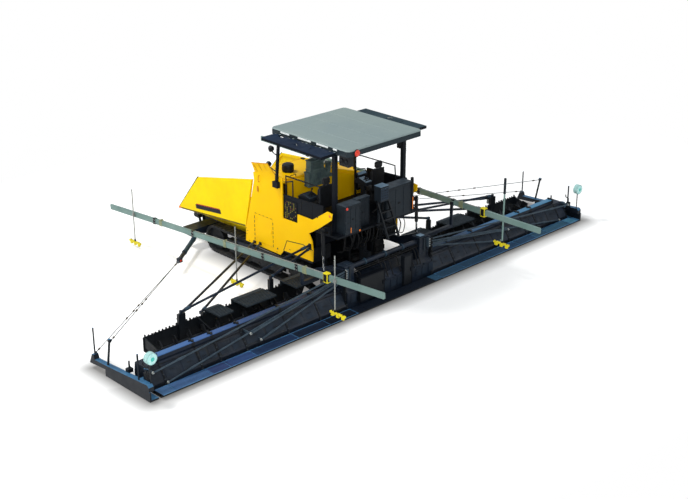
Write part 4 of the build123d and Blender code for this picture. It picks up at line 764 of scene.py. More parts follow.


# hopper: bare stripe on the wing, painted shade along the lower edge, rubber flashing, liner bolts
for side, word in ((-1, "left"), (1, "right")):
    mesh = bmesh.new()   # dark olive strip along the wing's lower edge, with its lip: painted shade for the wing's shaded underside
    addPlate(mesh, [(4075, 1152), (6930, 893), (6925, 930), (4075, 1192)], "x", (side * 1499, side * 1503))
    makePiece(f"wing_edge_{word}", mesh, "wing_edge", f"hopper_wing_{word}")
    mesh = bmesh.new()
    addPlate(mesh, [(6790, 905), (6932, 893), (6900, 955), (6815, 965)], "x", (side * 1500, side * 1505))
    makePiece(f"wing_tip_marker_{word}", mesh, "amber_lens", f"hopper_wing_{word}")
    mesh = bmesh.new()   # plain painted band on the wing's side: a dark stripe with a red one above
    band = {"rear": 5060, "front": 6130, "low": 1150, "high": 1262, "fall": -0.115}
    outline = []
    for y, z in ((band["rear"], band["low"]), (band["front"], band["low"]),
        (band["front"] + 30, band["high"]), (band["rear"] + 30, band["high"])):
        outline.append((y, z + (y - band["rear"]) * band["fall"] + 60))
    addPlate(mesh, outline, "x", (side * 1500, side * 1502.5))
    makePiece(f"wing_band_{word}", mesh, "band_dark", f"hopper_wing_{word}")
    mesh = bmesh.new()
    outline = []
    for y, z in ((band["rear"] + 60, band["high"] + 2), (band["front"] - 10, band["high"] + 2),
        (band["front"] - 4, band["high"] + 26), (band["rear"] + 66, band["high"] + 26)):
        outline.append((y, z + (y - band["rear"]) * band["fall"] + 60))
    addPlate(mesh, outline, "x", (side * 1500, side * 1502.5))
    makePiece(f"wing_band_red_{word}", mesh, "band_red", f"hopper_wing_{word}")
    mesh = bmesh.new()   # rubber flashing over the front edge, with its clamp bar and bolts
    addPlate(mesh, [(6000, 2003), (6030, 2010), (6960, 890), (6940, 892)], "x", (side * 1462, side * 1494))
    makePiece(f"wing_flashing_{word}", mesh, "rubber", f"hopper_wing_{word}", 2)
    mesh = bmesh.new()   # bolted liner seams on the wing's sloping floor
    for share in (0.2, 0.4, 0.6, 0.8):
        top = Vector((side * 1440, 4100 + share * 2750, 1172 - share * 255))
        foot = Vector((side * 900, 4130 + share * 2450, 668))
        for step in range(7):
            addBolt(mesh, foot.lerp(top, 0.06 + step * 0.14) + Vector((0, 0, 3)), (-side * 0.6, 0.05, 0.8),
                13)
    makePiece(f"wing_liner_bolts_{word}", mesh, "worn_steel", f"hopper_wing_{word}")
mesh = bmesh.new()   # under the wings: the trough's front guards and the wings' cylinders, which stay still
for side in (-1, 1):
    addBox(mesh, (side * 862, side * 1120), (6480, 6560), (300, 420))
    addTube(mesh, [(side * 1090, 6500, 430), (side * 1240, 6380, 760)], 34, 16)
    addTube(mesh, [(side * 1180, 6430, 620), (side * 1330, 6310, 800)], 20, 12)
makePiece("wing_cylinders", mesh, "grey_castings", "tractor", 4)
print("body and hopper dressed")


# platform: seats with crowned cushions, consoles, instrument panel
def makeCushion(name, x, y, z, crown, body, lean=0.0, flutes=0):
    mesh = bmesh.new()   # a crowned form whose sides pull in between its corners
    centre = Vector((sum(x) / 2, sum(y) / 2, sum(z) / 2))
    half = Vector((abs(x[1] - x[0]) / 2, abs(y[1] - y[0]) / 2, abs(z[1] - z[0]) / 2))
    bmesh.ops.create_cube(mesh, size=2)
    bmesh.ops.subdivide_edges(mesh, edges=mesh.edges[:], cuts=9, use_grid_fill=True)
    for vert in mesh.verts:
        a, b, c = vert.co
        pull = 1 - 0.05 * (1 - a * a) * abs(b) ** 6 - 0.05 * (1 - b * b) * abs(a) ** 6
        a2, b2 = a * pull, b * pull
        edge = max(abs(a), abs(b)) ** 10
        c2 = c * (1 - 0.35 * edge)
        if c > 0:
            c2 += crown * (1 - a * a) * (1 - b * b) * c
            if flutes:
                c2 -= 0.12 * max(0, math.cos(b * flutes * math.pi)) ** 8 * (1 - a ** 8)
        vert.co = Vector((a2 * half.x, b2 * half.y, c2 * half.z))
    bmesh.ops.transform(mesh, matrix=Matrix.Translation(centre) @ Matrix.Rotation(lean, 4, "X"),
        verts=mesh.verts[:])
    piece = makePiece(name, mesh, "seat_vinyl", body, smooth=80)
    rounder = piece.modifiers.new("rounder", "SUBSURF")
    rounder.levels = rounder.render_levels = 1
    return piece


seat = {"x": 910, "half": 226, "y": (1684, 2176), "pan": 2158, "top": 2262, "lean": math.radians(-9)}
for side, word in ((-1, "left"), (1, "right")):
    middle = side * seat["x"]
    limits = (middle - seat["half"], middle + seat["half"])
    pad = makeCushion(f"seat_cushion_{word}", limits, seat["y"], (seat["pan"], seat["top"]), 0.35, "tractor",
        flutes=3)
    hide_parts("seats")
    back = makeCushion(f"seat_back_{word}", (middle - 214, middle + 214), (1652, 1752), (2290, 2750), 0.0,
        "tractor", math.radians(6))
    head = makeCushion(f"seat_head_{word}", (middle - 112, middle + 112), (1622, 1694), (2772, 2944), 0.0,
        "tractor", math.radians(3))
    mesh = bmesh.new()   # pedestal with its bellows, pan, back shell, headrest posts and arm rests
    addTurned(mesh, (middle, 1885, 1781), (0, 0, 1),
        [(0, 170), (24, 170), (30, 150)] + [(40 + 26 * i, 132 + 16 * (i % 2)) for i in range(12)] + [(352,
        140), (366, 140)], 28)
    addPlate(mesh, [(middle - 214, 2148), (middle + 214, 2148), (middle + 204, 2172), (middle - 204, 2172)],
        "y", (1690, 2168))
    addPlate(mesh, [(1640, 2172), (1700, 2172), (1662, 2748), (1632, 2748)], "x",
        (middle - 190, middle + 190))
    for x in (middle - 60, middle + 60):
        addTube(mesh, [(x, 1662, 2730), (x, 1654, 2800)], 9, 10)
    for arm in (-1, 1):
        x = middle + arm * 205
        addTube(mesh, rounded([(x, 1668, 2420), (x, 1790, 2440), (x, 2000, 2448)], 0.3),
            [22, 26, 28, 28, 28, 28, 28, 26, 20], 12)
    makePiece(f"seat_frame_{word}", mesh, "seat_frame", "tractor", 3)

desks = [(-1200, 1970, 150), (565, 1850, 105)]   # middle of each console along X and Y, and its half width
mesh = bmesh.new()
knobs = bmesh.new()
glass = bmesh.new()
for x, y, half in desks:
    outline = [(y - 200, 2380), (y + 190, 2380), (y + 230, 2440), (y + 60, 2540), (y - 200, 2470)]
    addPlate(mesh, [(a, b + 4) for a,
        b in ((y + 214, 2452), (y + 66, 2538), (y + 66, 2546), (y + 214, 2460))], "x",
        (x - half + 14, x + half - 14))
    for column in range(5):
        for row in range(2):
            share = (column + 0.5) / 5
            place = (x - half * 0.8 + share * half * 1.6, y - 150 + row * 62, 2478 + (50 + row * 62) * 0.27)
            addTurned(knobs, place, (0, -0.26, 1), [(0, 13), (22, 13), (26, 9)], 12)
    addTurned(knobs, (x + half * 0.45, y - 20, 2515), (0, -0.26, 1),
        [(0, 30), (12, 26), (24, 12), (92, 11), (104, 22), (140, 20), (152, 8)], 16)
    addPlate(glass, [(y + 204, 2462), (y + 80, 2534), (y + 80, 2538), (y + 204, 2466)], "x",
        (x - half * 0.5, x + half * 0.3))
    addBox(mesh, (x - half + 4, x + half - 4), (y - 204, y - 196), (2390, 2460))
makePiece("console_covers", mesh, "console_abs", "tractor", 3)
makePiece("console_levers", knobs, "seat_frame", "tractor", 1)
makePiece("console_screens", glass, "screen_glass", "tractor")
mesh = bmesh.new()   # steering knob rings and cup rails on the consoles
for x, y, half in desks:
    points = [(x + 50 * math.cos(t), y - 108 + 50 * math.sin(t),
        2552) for t in [i * math.pi / 12 for i in range(25)]]
    addTube(mesh, points, 8, 8)
    addTube(mesh, [(x, y - 108, 2486), (x, y - 108, 2552)], 10, 10)
makePiece("console_wheels", mesh, "seat_frame", "tractor")

instruments = {"y": (2110, 2560), "z": (1810, 2300)}
mesh = bmesh.new()   # the instrument panel at the front end of the platform's black side
addBox(mesh, (-1468, -1458), instruments["y"], instruments["z"])
addBox(mesh, (-1474, -1464), (2102, 2116), (1806, 2306))
addBox(mesh, (-1474, -1464), (2556, 2570), (1806, 2306))
for z in (2294, 1806):
    addBox(mesh, (-1474, -1464), (2102, 2570), (z, z + 12))
makePiece("instrument_panel", mesh, "side_enamel", "tractor", 2)
random.seed(7)
mesh = bmesh.new()
dials = bmesh.new()
for row in range(9):
    for column in range(7):
        place = (-1468, 2150 + column * 62, 1850 + row * 50)
        if random.random() < 0.35:
            continue
        if random.random() < 0.7:
            addTurned(mesh, place, (-1, 0, 0), [(0, 17), (9, 17), (14, 12), (14, 4)], 12)
        else:
            addTurned(dials, place, (-1, 0, 0), [(0, 19), (4, 19), (7, 15), (7, 2)], 14)
addTurned(dials, (-1468, 2520, 1822), (-1, 0, 0), [(0, 30), (5, 30), (9, 25), (9, 2)], 20)
makePiece("instrument_knobs", mesh, "knob_olive", "tractor")
makePiece("instrument_dials", dials, "dial_brown", "tractor")
mesh = bmesh.new()   # framing and fixings of the platform's side walls, floor ribs
for side in (-1, 1):
    x = (side * 1456, side * 1466)
    addPlate(mesh, [(1170, 2470), (2596, 2400), (2596, 2412), (1170, 2482)], "x", x)
    for y in (1190, 1560, 1950, 2330):
        top = 2460 - (y - 1170) * 0.049
        addBox(mesh, (side * 1459, side * 1464), (y - 9, y + 9), (1800, top))
    for y in range(1240, 2340, 180):
        addBolt(mesh, (side * 1460, y, 1768), (side, 0, 0), 12)
makePiece("platform_edges", mesh, "side_enamel", "tractor", 2)
mesh = bmesh.new()
for row in range(7):
    for column in range(9):
        addPlate(mesh, [(-1200 + column * 270, 1090 + row * 205), (-1150 + column * 270, 1082 + row * 205),
            (-1100 + column * 270, 1090 + row * 205),
                        (-1150 + column * 270, 1098 + row * 205)], "z", (1779, 1784))
makePiece("platform_tread", mesh, "grey_castings", "tractor")
mesh = bmesh.new()   # lockers on the platform behind the seats
addBox(mesh, (-720, -470), (1010, 1180), (1790, 2300))
addBox(mesh, (330, 700), (1010, 1160), (1790, 2380))
makePiece("platform_lockers", mesh, "black_enamel", "tractor", 14)
print("platform dressed")


# cabinets behind the platform: ribs, grooves, latches, lids, markers
mesh = bmesh.new()
lids = bmesh.new()
grooves = bmesh.new()
# X limits, rear face, top
cabinets = [((-1180, -664), 700, 2500), ((-656, -210), 860, 2510), ((240, 1120), 700, 2600)]
for (low, high), rear, top in cabinets:
    width = high - low
    for share in (0.04, 0.36, 0.68, 0.96):
        addBox(mesh, (low + width * share - 7, low + width * share + 7), (rear - 9, rear), (1820, top - 70))
    addBox(mesh, (low, high), (rear - 8, rear), (top - 66, top - 54))
    addBox(lids, (low - 6, high + 6), (rear - 8, 1000), (top - 8, top + 8))
    addBar(grooves, (low + width * 0.5, rear - 3, top - 40), (low + width * 0.88, rear - 3, top - 24), 7, 10)
    addBar(grooves, (low + width * 0.1, rear - 3, top - 44), (low + width * 0.34, rear - 3, top - 38), 7, 10)
    addBox(grooves, (low + width * 0.46, low + width * 0.54), (rear - 14, rear), (2120, 2150))
    for z in (1900, 2060, 2220):
        addBox(grooves, (low + width * 0.12, low + width * 0.3), (rear - 3, rear), (z, z + 9))
makePiece("cabinet_ribs", mesh, "slate_powder", "tractor", 2)
# the lids are painted lighter than the cabinets: painted highlight on their lit tops
makePiece("cabinet_lids", lids, "slate_top_highlight", "tractor", 3)
makePiece("cabinet_grooves", grooves, "rubber", "tractor")
mesh = bmesh.new()
addBox(mesh, (-152, 142), (526, 772), (2768, 2782))
addBox(mesh, (-130, 120), (534, 542), (2430, 2730))
makePiece("control_box_cover", mesh, "lid_enamel", "tractor", 3)
mesh = bmesh.new()
for row in range(4):
    for column in range(4):
        addTurned(mesh, (-90 + column * 56, 534, 2480 + row * 64), (0, -1, 0), [(0, 13), (8, 13), (12, 8)],
            10)
addTube(mesh, rounded([(-60, 640, 2390), (-60, 700, 2200), (-120, 840, 2050)], 0.4), 16, 10)
addTube(mesh, rounded([(60, 640, 2390), (70, 690, 2150), (200, 740, 1950)], 0.4), 14, 10)
makePiece("control_box_buttons", mesh, "rubber", "tractor")
mesh = bmesh.new()   # narrow upright at the right cabinet's outer end
addBox(mesh, (1122, 1176), (676, 740), (1790, 2690))
addBox(mesh, (1128, 1170), (668, 676), (2440, 2660))
makePiece("cabinet_upright", mesh, "black_enamel", "tractor", 5)
mesh = bmesh.new()
addBox(mesh, (1138, 1158), (667, 677), (1860, 2180))
addBox(mesh, (-1006, -984), (688, 694), (1800, 1930))
addTurned(mesh, (-700, 692, 1786), (0, -1, 0), [(0, 26), (8, 26), (12, 20), (14, 2)], 16)
makePiece("cabinet_markers", mesh, "amber_lens", "tractor")
mesh = bmesh.new()
addTurned(mesh, (-1130, 690, 2440), (0, -1, 0), [(0, 36), (6, 36), (12, 30), (14, 2)], 20)
makePiece("rear_reflector", mesh, "red_lens", "tractor")
mesh = bmesh.new()
addTurned(mesh, (-570, 850, 1926), (0, -1, 0), [(0, 24), (7, 24), (10, 16), (12, 2)], 16)
makePiece("rear_cap", mesh, "galvanised", "tractor")

# rubber hoses with zinc clips under the cabinets, placed at random: their lower ends are open
random.seed(3)
mesh = bmesh.new()
clips = bmesh.new()
for bundle in range(22):
    x = -1120 + bundle * 104 + random.uniform(-22, 22)
    if abs(x) > 1050:
        continue
    y = 960 + random.uniform(-50, 40)
    drop = random.uniform(-90, 90)
    low = random.uniform(1080, 1240)
    addTube(mesh,
        rounded([(x, y, 1772), (x, y - 20, 1600), (x + drop, y - 30, 1420), (x + drop, y + 40, low),
        (x + drop, 1180, low - 30)], 0.35, 4), random.choice((11, 14, 18)), 8)
    addBox(clips, (x - 26, x + 26), (y - 34, y + 6), (1640, 1664))
makePiece("rear_pipes", mesh, "rubber", "tractor")
makePiece("pipe_clips", clips, "zinc_plate", "tractor", 1)
mesh = bmesh.new()   # dash and upright before the right seat
addBox(mesh, (700, 742), (2270, 2320), (1790, 2610))
addPlate(mesh, [(2226, 2050), (2340, 2050), (2340, 2480), (2290, 2500), (2226, 2440)], "x", (742, 1100))
addTube(mesh, rounded([(742, 2300, 2560), (860, 2280, 2590), (1060, 2280, 2560), (1090, 2300, 2480)], 0.3, 4),
    14, 8)
makePiece("right_dash", mesh, "black_enamel", "tractor", 5)
mesh = bmesh.new()
addPlate(mesh, [(2232, 2446), (2286, 2498), (2284, 2504), (2228, 2452)], "x", (780, 1060))
for x, z in ((800, 2380), (870, 2300), (960, 2380), (1030, 2200)):
    addTurned(mesh, (x, 2227, z), (0, -1, 0), [(0, 26), (6, 26), (9, 18), (9, 3)], 14)
makePiece("right_dash_gauges", mesh, "lid_enamel", "tractor", 1)
print("cabinets dressed")


# screed: section flanges, heating covers, bolts
sectionEnds = [1500, 2400, 3400, 4650, 5400, 5920, 6900, 7250]


def faceY(z):
    return 300 + 240 * max(0, z - 160) / 360   # the extensions' sloping rear face


for side, word in ((-1, "left"), (1, "right")):
    flanges, covers, bolts = bmesh.new(), bmesh.new(), bmesh.new()
    for low, high in zip(sectionEnds[:-1], sectionEnds[1:]):
        for x in (low + 10, high - 10):
            addPlate(flanges, [(286, 60), (286, 164), (526, 524), (545, 524), (305, 160), (305, 60)], "x",
                (side * (x - 8), side * (x + 8)))
            for z in (110, 200, 290, 380, 470):
                addBolt(bolts, (side * x, faceY(z) - 18, z), (0, -0.83, 0.55), 15)
        if high - low > 500:
            for part in range(2):   # two heating covers a section, each with a grip
                a = low + 60 + part * (high - low - 60) / 2
                b = a + (high - low - 180) / 2
                z0, z1 = 210, 430
                addPlate(covers, [(faceY(z0) - 12, z0), (faceY(z1) - 12, z1), (faceY(z1) + 2, z1),
                    (faceY(z0) + 2, z0)], "x", (side * a, side * b))
                middle = (a + b) / 2
                y, z = faceY(330) - 16, 330
                addTube(flanges,
                    rounded([(side * (middle - 60), y, z), (side * (middle - 55), y - 22, z + 14),
                    (side * (middle + 55), y - 22, z + 14), (side * (middle + 60), y, z)], 0.3, 3), 6, 6)
        addBox(flanges, (side * (low + 20), side * (high - 20)), (faceY(470) - 14, faceY(470) + 10),
            (470, 482))
        addBox(flanges, (side * (low + 20), side * (high - 20)), (286, 302), (130, 142))
    makePiece(f"section_flanges_{word}", flanges, "frame_enamel", "screed")
    makePiece(f"heating_covers_{word}", covers, "cover_enamel", "screed", 2)
    makePiece(f"section_bolts_{word}", bolts, "grating_steel", "screed")

    mesh = bmesh.new()   # lugs and adjusting screws on top of the chord
    for x in sectionEnds[1:-1]:
        addBox(mesh, (side * (x - 26), side * (x + 26)), (586, 744), (636, 668))
        addBox(mesh, (side * (x - 40), side * (x + 40)), (572, 582), (528, 630))
        addTube(mesh, [(side * (x - 70), 664, 652), (side * (x + 70), 664, 652)], 12, 8)
    makePiece(f"chord_lugs_{word}", mesh, "black_enamel", "screed", 3)
    mesh = bmesh.new()   # lighter blue lips round the walkway panels
    for low, high in zip(sectionEnds[:-1], sectionEnds[1:]):
        addBox(mesh, (side * (low + 6), side * (high - 6)), (-95, -84), (98, 106))
        addBox(mesh, (side * (low + 6), side * (high - 6)), (214, 225), (98, 106))
        addBox(mesh, (side * (low + 6), side * (low + 16)), (-95, 225), (98, 105))
    makePiece(f"walkway_lips_{word}", mesh, "lip_enamel", "screed")
    mesh = bmesh.new()   # walkway hinges against the screed
    for low, high in zip(sectionEnds[:-1], sectionEnds[1:]):
        for share in (0.22, 0.78):
            x = low + (high - low) * share
            addBox(mesh, (side * (x - 34), side * (x + 34)), (222, 292), (84, 92))
            addTube(mesh, [(side * (x - 38), 238, 100), (side * (x + 38), 238, 100)], 11, 8)
    makePiece(f"walkway_hinges_{word}", mesh, "black_enamel", "screed")

    # tie rods: ball ends, turnbuckles
    mesh = bmesh.new()
    balls = bmesh.new()
    for rootZ, x, z in ((1040, 7232, 490), (980, 6860, 130), (920, 4550, 480), (860, 4250, 230)):
        start, end = Vector((side * 1470, 370, rootZ)), Vector((side * x, 262, z))
        way = (end - start).normalized()
        for place in (start, end):
            bmesh.ops.create_icosphere(balls, subdivisions=2, radius=34, matrix=Matrix.Translation(place))
        for share, reach in ((0.86, 130), (0.12, 90)):
            place = start.lerp(end, share)
            addTube(mesh, [place, place + way * reach], 30, 6)
            addTube(mesh, [place - way * 60, place + way * (reach + 60)], 25, 8)
    makePiece(f"tie_rod_nuts_{word}", mesh, "rod_paint", "screed", 2)
    makePiece(f"tie_rod_balls_{word}", balls, "galvanised", "screed", smooth=180)

    # tower: cap, shim stack, hinge plate
    mesh = bmesh.new()
    addBox(mesh, (side * 1150, side * 1490), (410, 690), (1118, 1132))
    makePiece(f"tower_cap_{word}", mesh, "cover_enamel", "screed", 4)
    mesh = bmesh.new()
    addBox(mesh, (side * 1200, side * 1380), (440, 600), (1130, 1156))
    makePiece(f"tower_plate_{word}", mesh, "lid_enamel" if side > 0 else "cover_enamel", "screed", 4)
    mesh = bmesh.new()
    for x in (1190, 1320, 1450):
        for z in (560, 700, 840, 980):
            addBolt(mesh, (side * x, 418, z), (0, -1, 0), 24)
    addTube(mesh, [(side * 1320, 400, 760), (side * 1320, 400, 1090)], 22, 10)
    makePiece(f"tower_bolts_{word}", mesh, "grating_steel", "screed")
    mesh = bmesh.new()
    addBox(mesh, (side * 1498, side * 1530), (330, 420), (130, 1060))
    for z in range(180, 1040, 120):
        addTube(mesh, [(side * 1536, 322, z), (side * 1536, 322, z + 70)], 14, 8)
    makePiece(f"tower_hinge_{word}", mesh, "black_enamel", "screed", 3)

    # end gate: skid bolts, crank, hold-down hooks
    mesh = bmesh.new()
    for y in range(140, 1600, 240):
        addBolt(mesh, (side * 7512, y, 150), (side, 0, 0), 20)
        addBolt(mesh, (side * 7512, y + 90, 60), (side, 0, 0), 16)
    makePiece(f"gate_bolts_{word}", mesh, "galvanised", "screed")
    mesh = bmesh.new()
    addBox(mesh, (side * 7508, side * 7522), (20, 1600), (18, 60))
    addBox(mesh, (side * 7300, side * 7400), (300, 380), (330, 520))
    addTube(mesh,
        rounded([(side * 7350, 340, 520), (side * 7350, 340, 640), (side * 7350, 440, 650),
        (side * 7350, 450, 720)], 0.2, 4), 14, 8)
    addBox(mesh, (side * 7290, side * 7420), (900, 1010), (300, 390))
    addTube(mesh, [(side * 7355, 955, 380), (side * 7355, 955, 560)], 20, 10)
    makePiece(f"gate_fittings_{word}", mesh, "black_enamel", "screed", 3)
    mesh = bmesh.new()   # warning lamp: ribbed lens inside a pale shell
    addTurned(mesh, (side * 7395, 21, 965), (0, -1, 0), [(0, 128), (6, 124), (12, 104), (17, 70), (19, 2)],
        32)
    makePiece(f"end_lamp_lens_{word}", mesh, "lamp_lens", "screed", smooth=80)
    mesh = bmesh.new()
    addTurned(mesh, (side * 7395, 142, 965), (0, -1, 0), [(0, 60), (0, 135), (118, 135), (122, 128)], 32)
    makePiece(f"end_lamp_shell_{word}", mesh, "lamp_shell", "screed")
    mesh = bmesh.new()
    addTurned(mesh, (side * 7395, 10, 965), (0, -1, 0), [(0, 52), (6, 50), (12, 36), (14, 2)], 24)
    makePiece(f"end_lamp_heart_{word}", mesh, "teal_lens", "screed", smooth=80)
    mesh = bmesh.new()
    for start, end in (((3060, 4960, 330), (7430, 2100, 372)), ((3060, 4960, 330), (7420, 1470, 890))):
        a, b = Vector(start), Vector(end)
        for share in (0.52, 0.58, 0.66, 0.03, 0.97):
            place = a.lerp(b, share)
            reach = (b - a).normalized() * 34
            low, high = place - reach, place + reach
            addTube(mesh, [(side * low.x, low.y, low.z), (side * high.x, high.y, high.z)], 20, 8)
    makePiece(f"wire_sleeves_{word}", mesh, "sleeve_brown", "screed")

    # outriggers: painted cylinder on the arm, eye bolt
    mesh = bmesh.new()
    a, b = Vector((1700, 5990, 350)), Vector((3000, 5000, 330))
    for low, high, radius in ((0.1, 0.62, 60), (0.62, 0.66, 68), (0.08, 0.12, 68)):
        s, e = a.lerp(b, low), a.lerp(b, high)
        addTube(mesh, [(side * s.x, s.y, s.z), (side * e.x, e.y, e.z)], radius, 16)
    makePiece(f"outrigger_sleeve_{word}", mesh, "sleeve_blue", "tractor")
    mesh = bmesh.new()
    addTurned(mesh, (side * 2955, 4958, 345), (0, -1, 0), [(0, 24), (5, 24), (9, 18), (10, 2)], 14)
    makePiece(f"outrigger_reflector_{word}", mesh, "red_lens", "tractor")

    # auger channel: bolts along the retaining plates, grating bars, strut clevises
    mesh = bmesh.new()
    random.seed(11)
    x = 1760
    while x < 6480:
        if not any(abs(x - place) < 110 for place in (5465, 2800, 4850)):
            tall = random.choice((18, 26, 34, 44))
            addBox(mesh, (side * (x - 15), side * (x + 15)), (1596, 1628), (560, 582 + tall))
            addBolt(mesh, (side * x, 1612, 582 + tall), (0, 0, 1), 22)
        x += 96
    for x in (2250, 3400, 4300, 5050, 6200):
        addBox(mesh, (side * (x - 9), side * (x + 9)), (1596, 1652), (160, 584))
    makePiece(f"retaining_bolts_{word}", mesh, "black_enamel", "tractor")
    mesh = bmesh.new()
    for (low, high), (rear, front) in (((1750, 2500), (1010, 1500)), ((3120, 4020), (1020, 1530)),
        ((4390, 4800), (1050, 1540))):
        for row in range(int((front - rear) / 60)):
            addBox(mesh, (side * (low + 10), side * (high - 10)),
                (rear + 20 + row * 60, rear + 46 + row * 60), (719, 733))
        addBox(mesh, (side * low, side * (low + 12)), (rear, front), (716, 736))
        addBox(mesh, (side * (high - 12), side * high), (rear, front), (716, 736))
    makePiece(f"grating_bars_{word}", mesh, "grating_steel", "tractor")
    mesh = bmesh.new()
    for outer, inner in (((5400, 1674, 790), (1517, 3700, 830)), ((4850, 1680, 620), (1517, 3480, 845)),
        ((5470, 1600, 870), (1517, 1600, 1360)), ((2800, 1600, 900), (1517, 1600, 1280))):
        a, b = Vector(outer), Vector(inner)
        for share in (0.03, 0.93):
            s, e = a.lerp(b, share), a.lerp(b, share + 0.035)
            addTube(mesh, [(side * s.x, s.y, s.z), (side * e.x, e.y, e.z)], 42, 6)
    makePiece(f"strut_nuts_{word}", mesh, "sleeve_blue", "tractor", 2)
    mesh = bmesh.new()
    addBox(mesh, (side * 5340, side * 5380), (1640, 1700), (640, 760))
    addBox(mesh, (side * 5440, side * 5500), (1640, 1690), (690, 720))
    addTube(mesh, [(side * 5300, 1664, 700), (side * 5560, 1664, 700)], 13, 8)
    makePiece(f"strut_clips_{word}", mesh, "galvanised", "tractor", 2)
print("screed sides dressed")

mesh = bmesh.new()   # basic screed: rubber hoses along the cross tube and down to the frame
for z, y, radius in ((905, 470, 13), (940, 500, 11), (880, 520, 16)):
    addTube(mesh,
        rounded([(-1160, y, z), (-900, y - 30, z - 10), (-200, y - 20, z - 16), (500, y - 34, z - 6),
        (1160, y, z)], 0.4), radius, 8)
for x in (-1090, -980, -250, -120, 60, 330, 800, 960, 1060):
    addTube(mesh, rounded([(x, 470, 890), (x + 20, 400, 800), (x - 10, 330, 660), (x + 30, 300, 500)], 0.35),
        13, 8)
makePiece("screed_pipes", mesh, "rubber", "screed")
mesh = bmesh.new()
for x in (-700, 0, 620):
    addTurned(mesh, (x, 550, 1000), (1, 0, 0), [(0, 60), (0, 74), (50, 74), (50, 60)], 16)
    addBox(mesh, (x + 5, x + 45), (520, 580), (1060, 1084))
makePiece("cross_tube_clamps", mesh, "sleeve_blue", "screed")
mesh = bmesh.new()   # frames and latches round the doors of the control cabinets
for (low, high), rear, bottom, top in (((-1150, -300), 220, 150, 780), ((400, 700), 230, 110, 900)):
    for a, b, c, d in ((low, high, bottom, bottom + 22), (low, high, top - 22, top),
        (low, low + 22, bottom, top), (high - 22, high, bottom, top)):
        addBox(mesh, (a, b), (rear - 9, rear), (c, d))
    addBox(mesh, (high - 70, high - 40), (rear - 22, rear),
        ((bottom + top) / 2 - 50, (bottom + top) / 2 + 50))
    addBox(mesh, (low - 6, high + 6), (rear - 12, 346), (top, top + 12))
makePiece("control_cabinet_frames", mesh, "side_enamel", "screed", 2)
mesh = bmesh.new()
for x in range(-1380, 1400, 230):
    if -1200 < x < -250 or 350 < x < 750:
        continue
    addBox(mesh, (x, x + 170), (286, 300), (190, 420))
for x in (-200, 150, 850, 1200):
    addTube(mesh, [(x, 292, 470), (x, 250, 470)], 26, 12)
makePiece("basic_screed_covers", mesh, "cover_enamel", "screed", 3)


# levelling beams: bands, sleeves, marker box, masts' heads
beam = {"x": 2740, "rear": -2125, "rearZ": 1620, "fall": {-1: 0.07238, 1: 0.0}}


def beamZ(side, y):
    return beam["rearZ"] - (y - beam["rear"]) * beam["fall"][side]


def addBand(mesh, side, y, reach, over):
    low, high = [(side * beam["x"], place, beamZ(side, place)) for place in (y - reach, y + reach)]
    addBar(mesh, low, high, 60 + over, 140 + over)


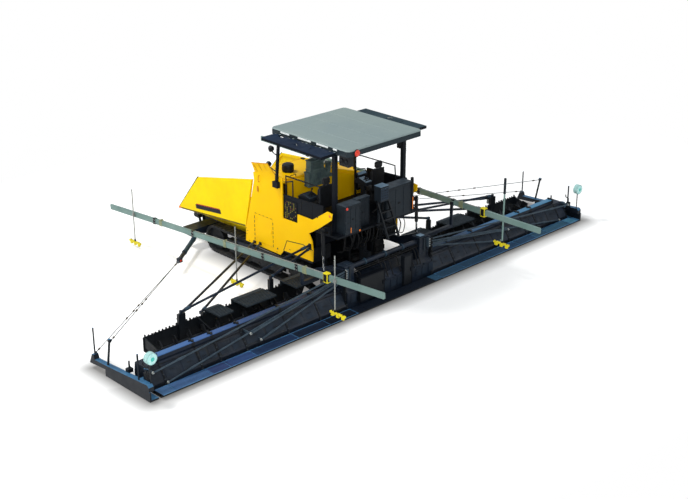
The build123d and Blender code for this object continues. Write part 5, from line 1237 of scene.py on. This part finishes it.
masts = [(-1, -630, -725, 740, 2140), (-1, 2880, 2880, 380, 1850), (-1, 7210, 7210, 180, 1660),
    (1, -920, -900, 930, 2670)]
for side, word in ((-1, "left"), (1, "right")):
    mesh = bmesh.new()   # splice plates with their bolts
    for y in (4650, 700, 1900, 6300):
        addBand(mesh, side, y, 46, 26)
    makePiece(f"beam_bands_{word}", mesh, "black_enamel", f"beam_{word}", 3)
    mesh = bmesh.new()
    for y, reach in ((420, 70), (6020, 60), (3350, 52)):
        addBand(mesh, side, y, reach, 20)
        addBox(mesh, (side * 2700, side * 2780), (y - 20, y + 20),
            (beamZ(side, y) + 70, beamZ(side, y) + 104))
    makePiece(f"beam_sleeves_{word}", mesh, "sleeve_olive", f"beam_{word}", 4)
    mesh = bmesh.new()   # yellow junction box with its dark face
    z = beamZ(side, -320)
    addBox(mesh, (side * 2690, side * 2812), (-392, -248), (z - 120, z + 120))
    makePiece(f"beam_box_{word}", mesh, "sensor_abs", f"beam_{word}", 12)
    mesh = bmesh.new()
    for x, a, b in ((side * 2814, -372, -268), (side * 2688, -372, -268)):
        addBox(mesh, (x - 3, x + 3), (a, b), (z - 92, z + 92))
    addBox(mesh, (side * 2706, side * 2796), (-398, -390), (z - 92, z + 92))
    for y in (-350, -290):
        addTube(mesh, [(side * 2750, y, z - 118), (side * 2750, y, z - 160)], 12, 8)
    makePiece(f"beam_box_face_{word}", mesh, "rubber", f"beam_{word}", 2)
    mesh = bmesh.new()   # cable duct clipped along the beam's top, and the bolts of the splices
    addTube(mesh,
        rounded([(side * 2740, -240, beamZ(side, -240) + 82), (side * 2736, 2000, beamZ(side, 2000) + 84),
        (side * 2740, 4560, beamZ(side, 4560) + 82)], 0.2), 9, 6)
    for y in (4650, 700, 1900, 6300):
        for shift in (-30, 30):
            for face in (-1, 1):
                addBolt(mesh, (side * 2740 + face * 43, y + shift, beamZ(side, y) + 40), (face, 0, 0), 16)
                addBolt(mesh, (side * 2740 + face * 43, y + shift, beamZ(side, y) - 40), (face, 0, 0), 16)
    makePiece(f"beam_fixings_{word}", mesh, "galvanised", f"beam_{word}")
    heads, glands, grips = bmesh.new(), bmesh.new(), bmesh.new()
    for where, y, footY, footZ, top in masts:
        if where != side:
            continue
        x = side * 2800
        addBox(heads, (x - 29, x + 29), (footY - 244, footY + 244), (footZ - 44, footZ + 4))
        for shift in (-170, 0, 170):
            addBox(heads, (x - 27, x + 27), (footY + shift - 38, footY + shift + 38),
                (footZ - 104, footZ - 38))
            addTurned(glands, (x, footY + shift, footZ - 104), (0, 0, -1),
                [(0, 22), (6, 22), (6, 15), (2, 12)], 14)
            addTurned(glands, (x, footY + shift, footZ + 3), (0, 0, 1), [(0, 13), (18, 12), (22, 7)], 10)
        addTube(glands, [(x, y, footZ + 6), (x, y, footZ + 60)], 24, 10)
        addTube(glands, [(x, y, top - 6), (x, y, top + 4)], 19, 10)
        if top > 2500:
            addTube(grips, [(x, y, 2260), (x, y, top - 2)], 33, 12)
            tube = bmesh.new()
            addTube(tube, [(x, y, 990), (x, y, 2262)], 22, 12)
            makePiece(f"mast_tube_{word}", tube, "anodised_profile", f"beam_{word}")
    makePiece(f"sensor_heads_{word}", heads, "sensor_abs", f"beam_{word}", 6)
    makePiece(f"sensor_glands_{word}", glands, "rubber", f"beam_{word}")
    if grips.verts:
        makePiece(f"mast_grip_{word}", grips, "mast_grip", f"beam_{word}", 2)
    else:
        grips.free()
print("beams dressed")


# running gear: roller caps; push rollers' ends
mesh = bmesh.new()
for side in (-1, 1):
    for y in (1700, 2100, 2500, 2900, 3300, 3700):
        addTurned(mesh, (side * 1372, y, 200), (side, 0, 0), [(0, 60), (8, 60), (14, 44), (30, 40), (34, 6)],
            20)
        for turn in range(6):
            t = turn * math.pi / 3
            addBolt(mesh, (side * 1380, y + 50 * math.cos(t), 200 + 50 * math.sin(t)), (side, 0, 0), 9)
makePiece("track_roller_caps", mesh, "cast_steel", "tractor")
for side, word in ((-1, "left"), (1, "right")):
    node = bpy.data.objects.get(f"push_roller_{word}")
    points = [node.matrix_world @ vert.co for vert in node.data.vertices]
    middle = sum(points, Vector()) / len(points)
    ends = (min(p.x for p in points), max(p.x for p in points))
    mesh = bmesh.new()
    centre = (ends[max(side, 0)] * 1000, middle.y * 1000 + 3125, middle.z * 1000)
    addTurned(mesh, centre, (side, 0, 0), [(-2, 40), (3, 40), (5, 26), (5, 4)], 16)
    addBolt(mesh, (centre[0] + side * 5, centre[1] + 14, centre[2]), (side, 0, 0), 8)
    makePiece(f"push_roller_caps_{word}", mesh, "worn_steel", f"push_roller_{word}")
print("running gear dressed")
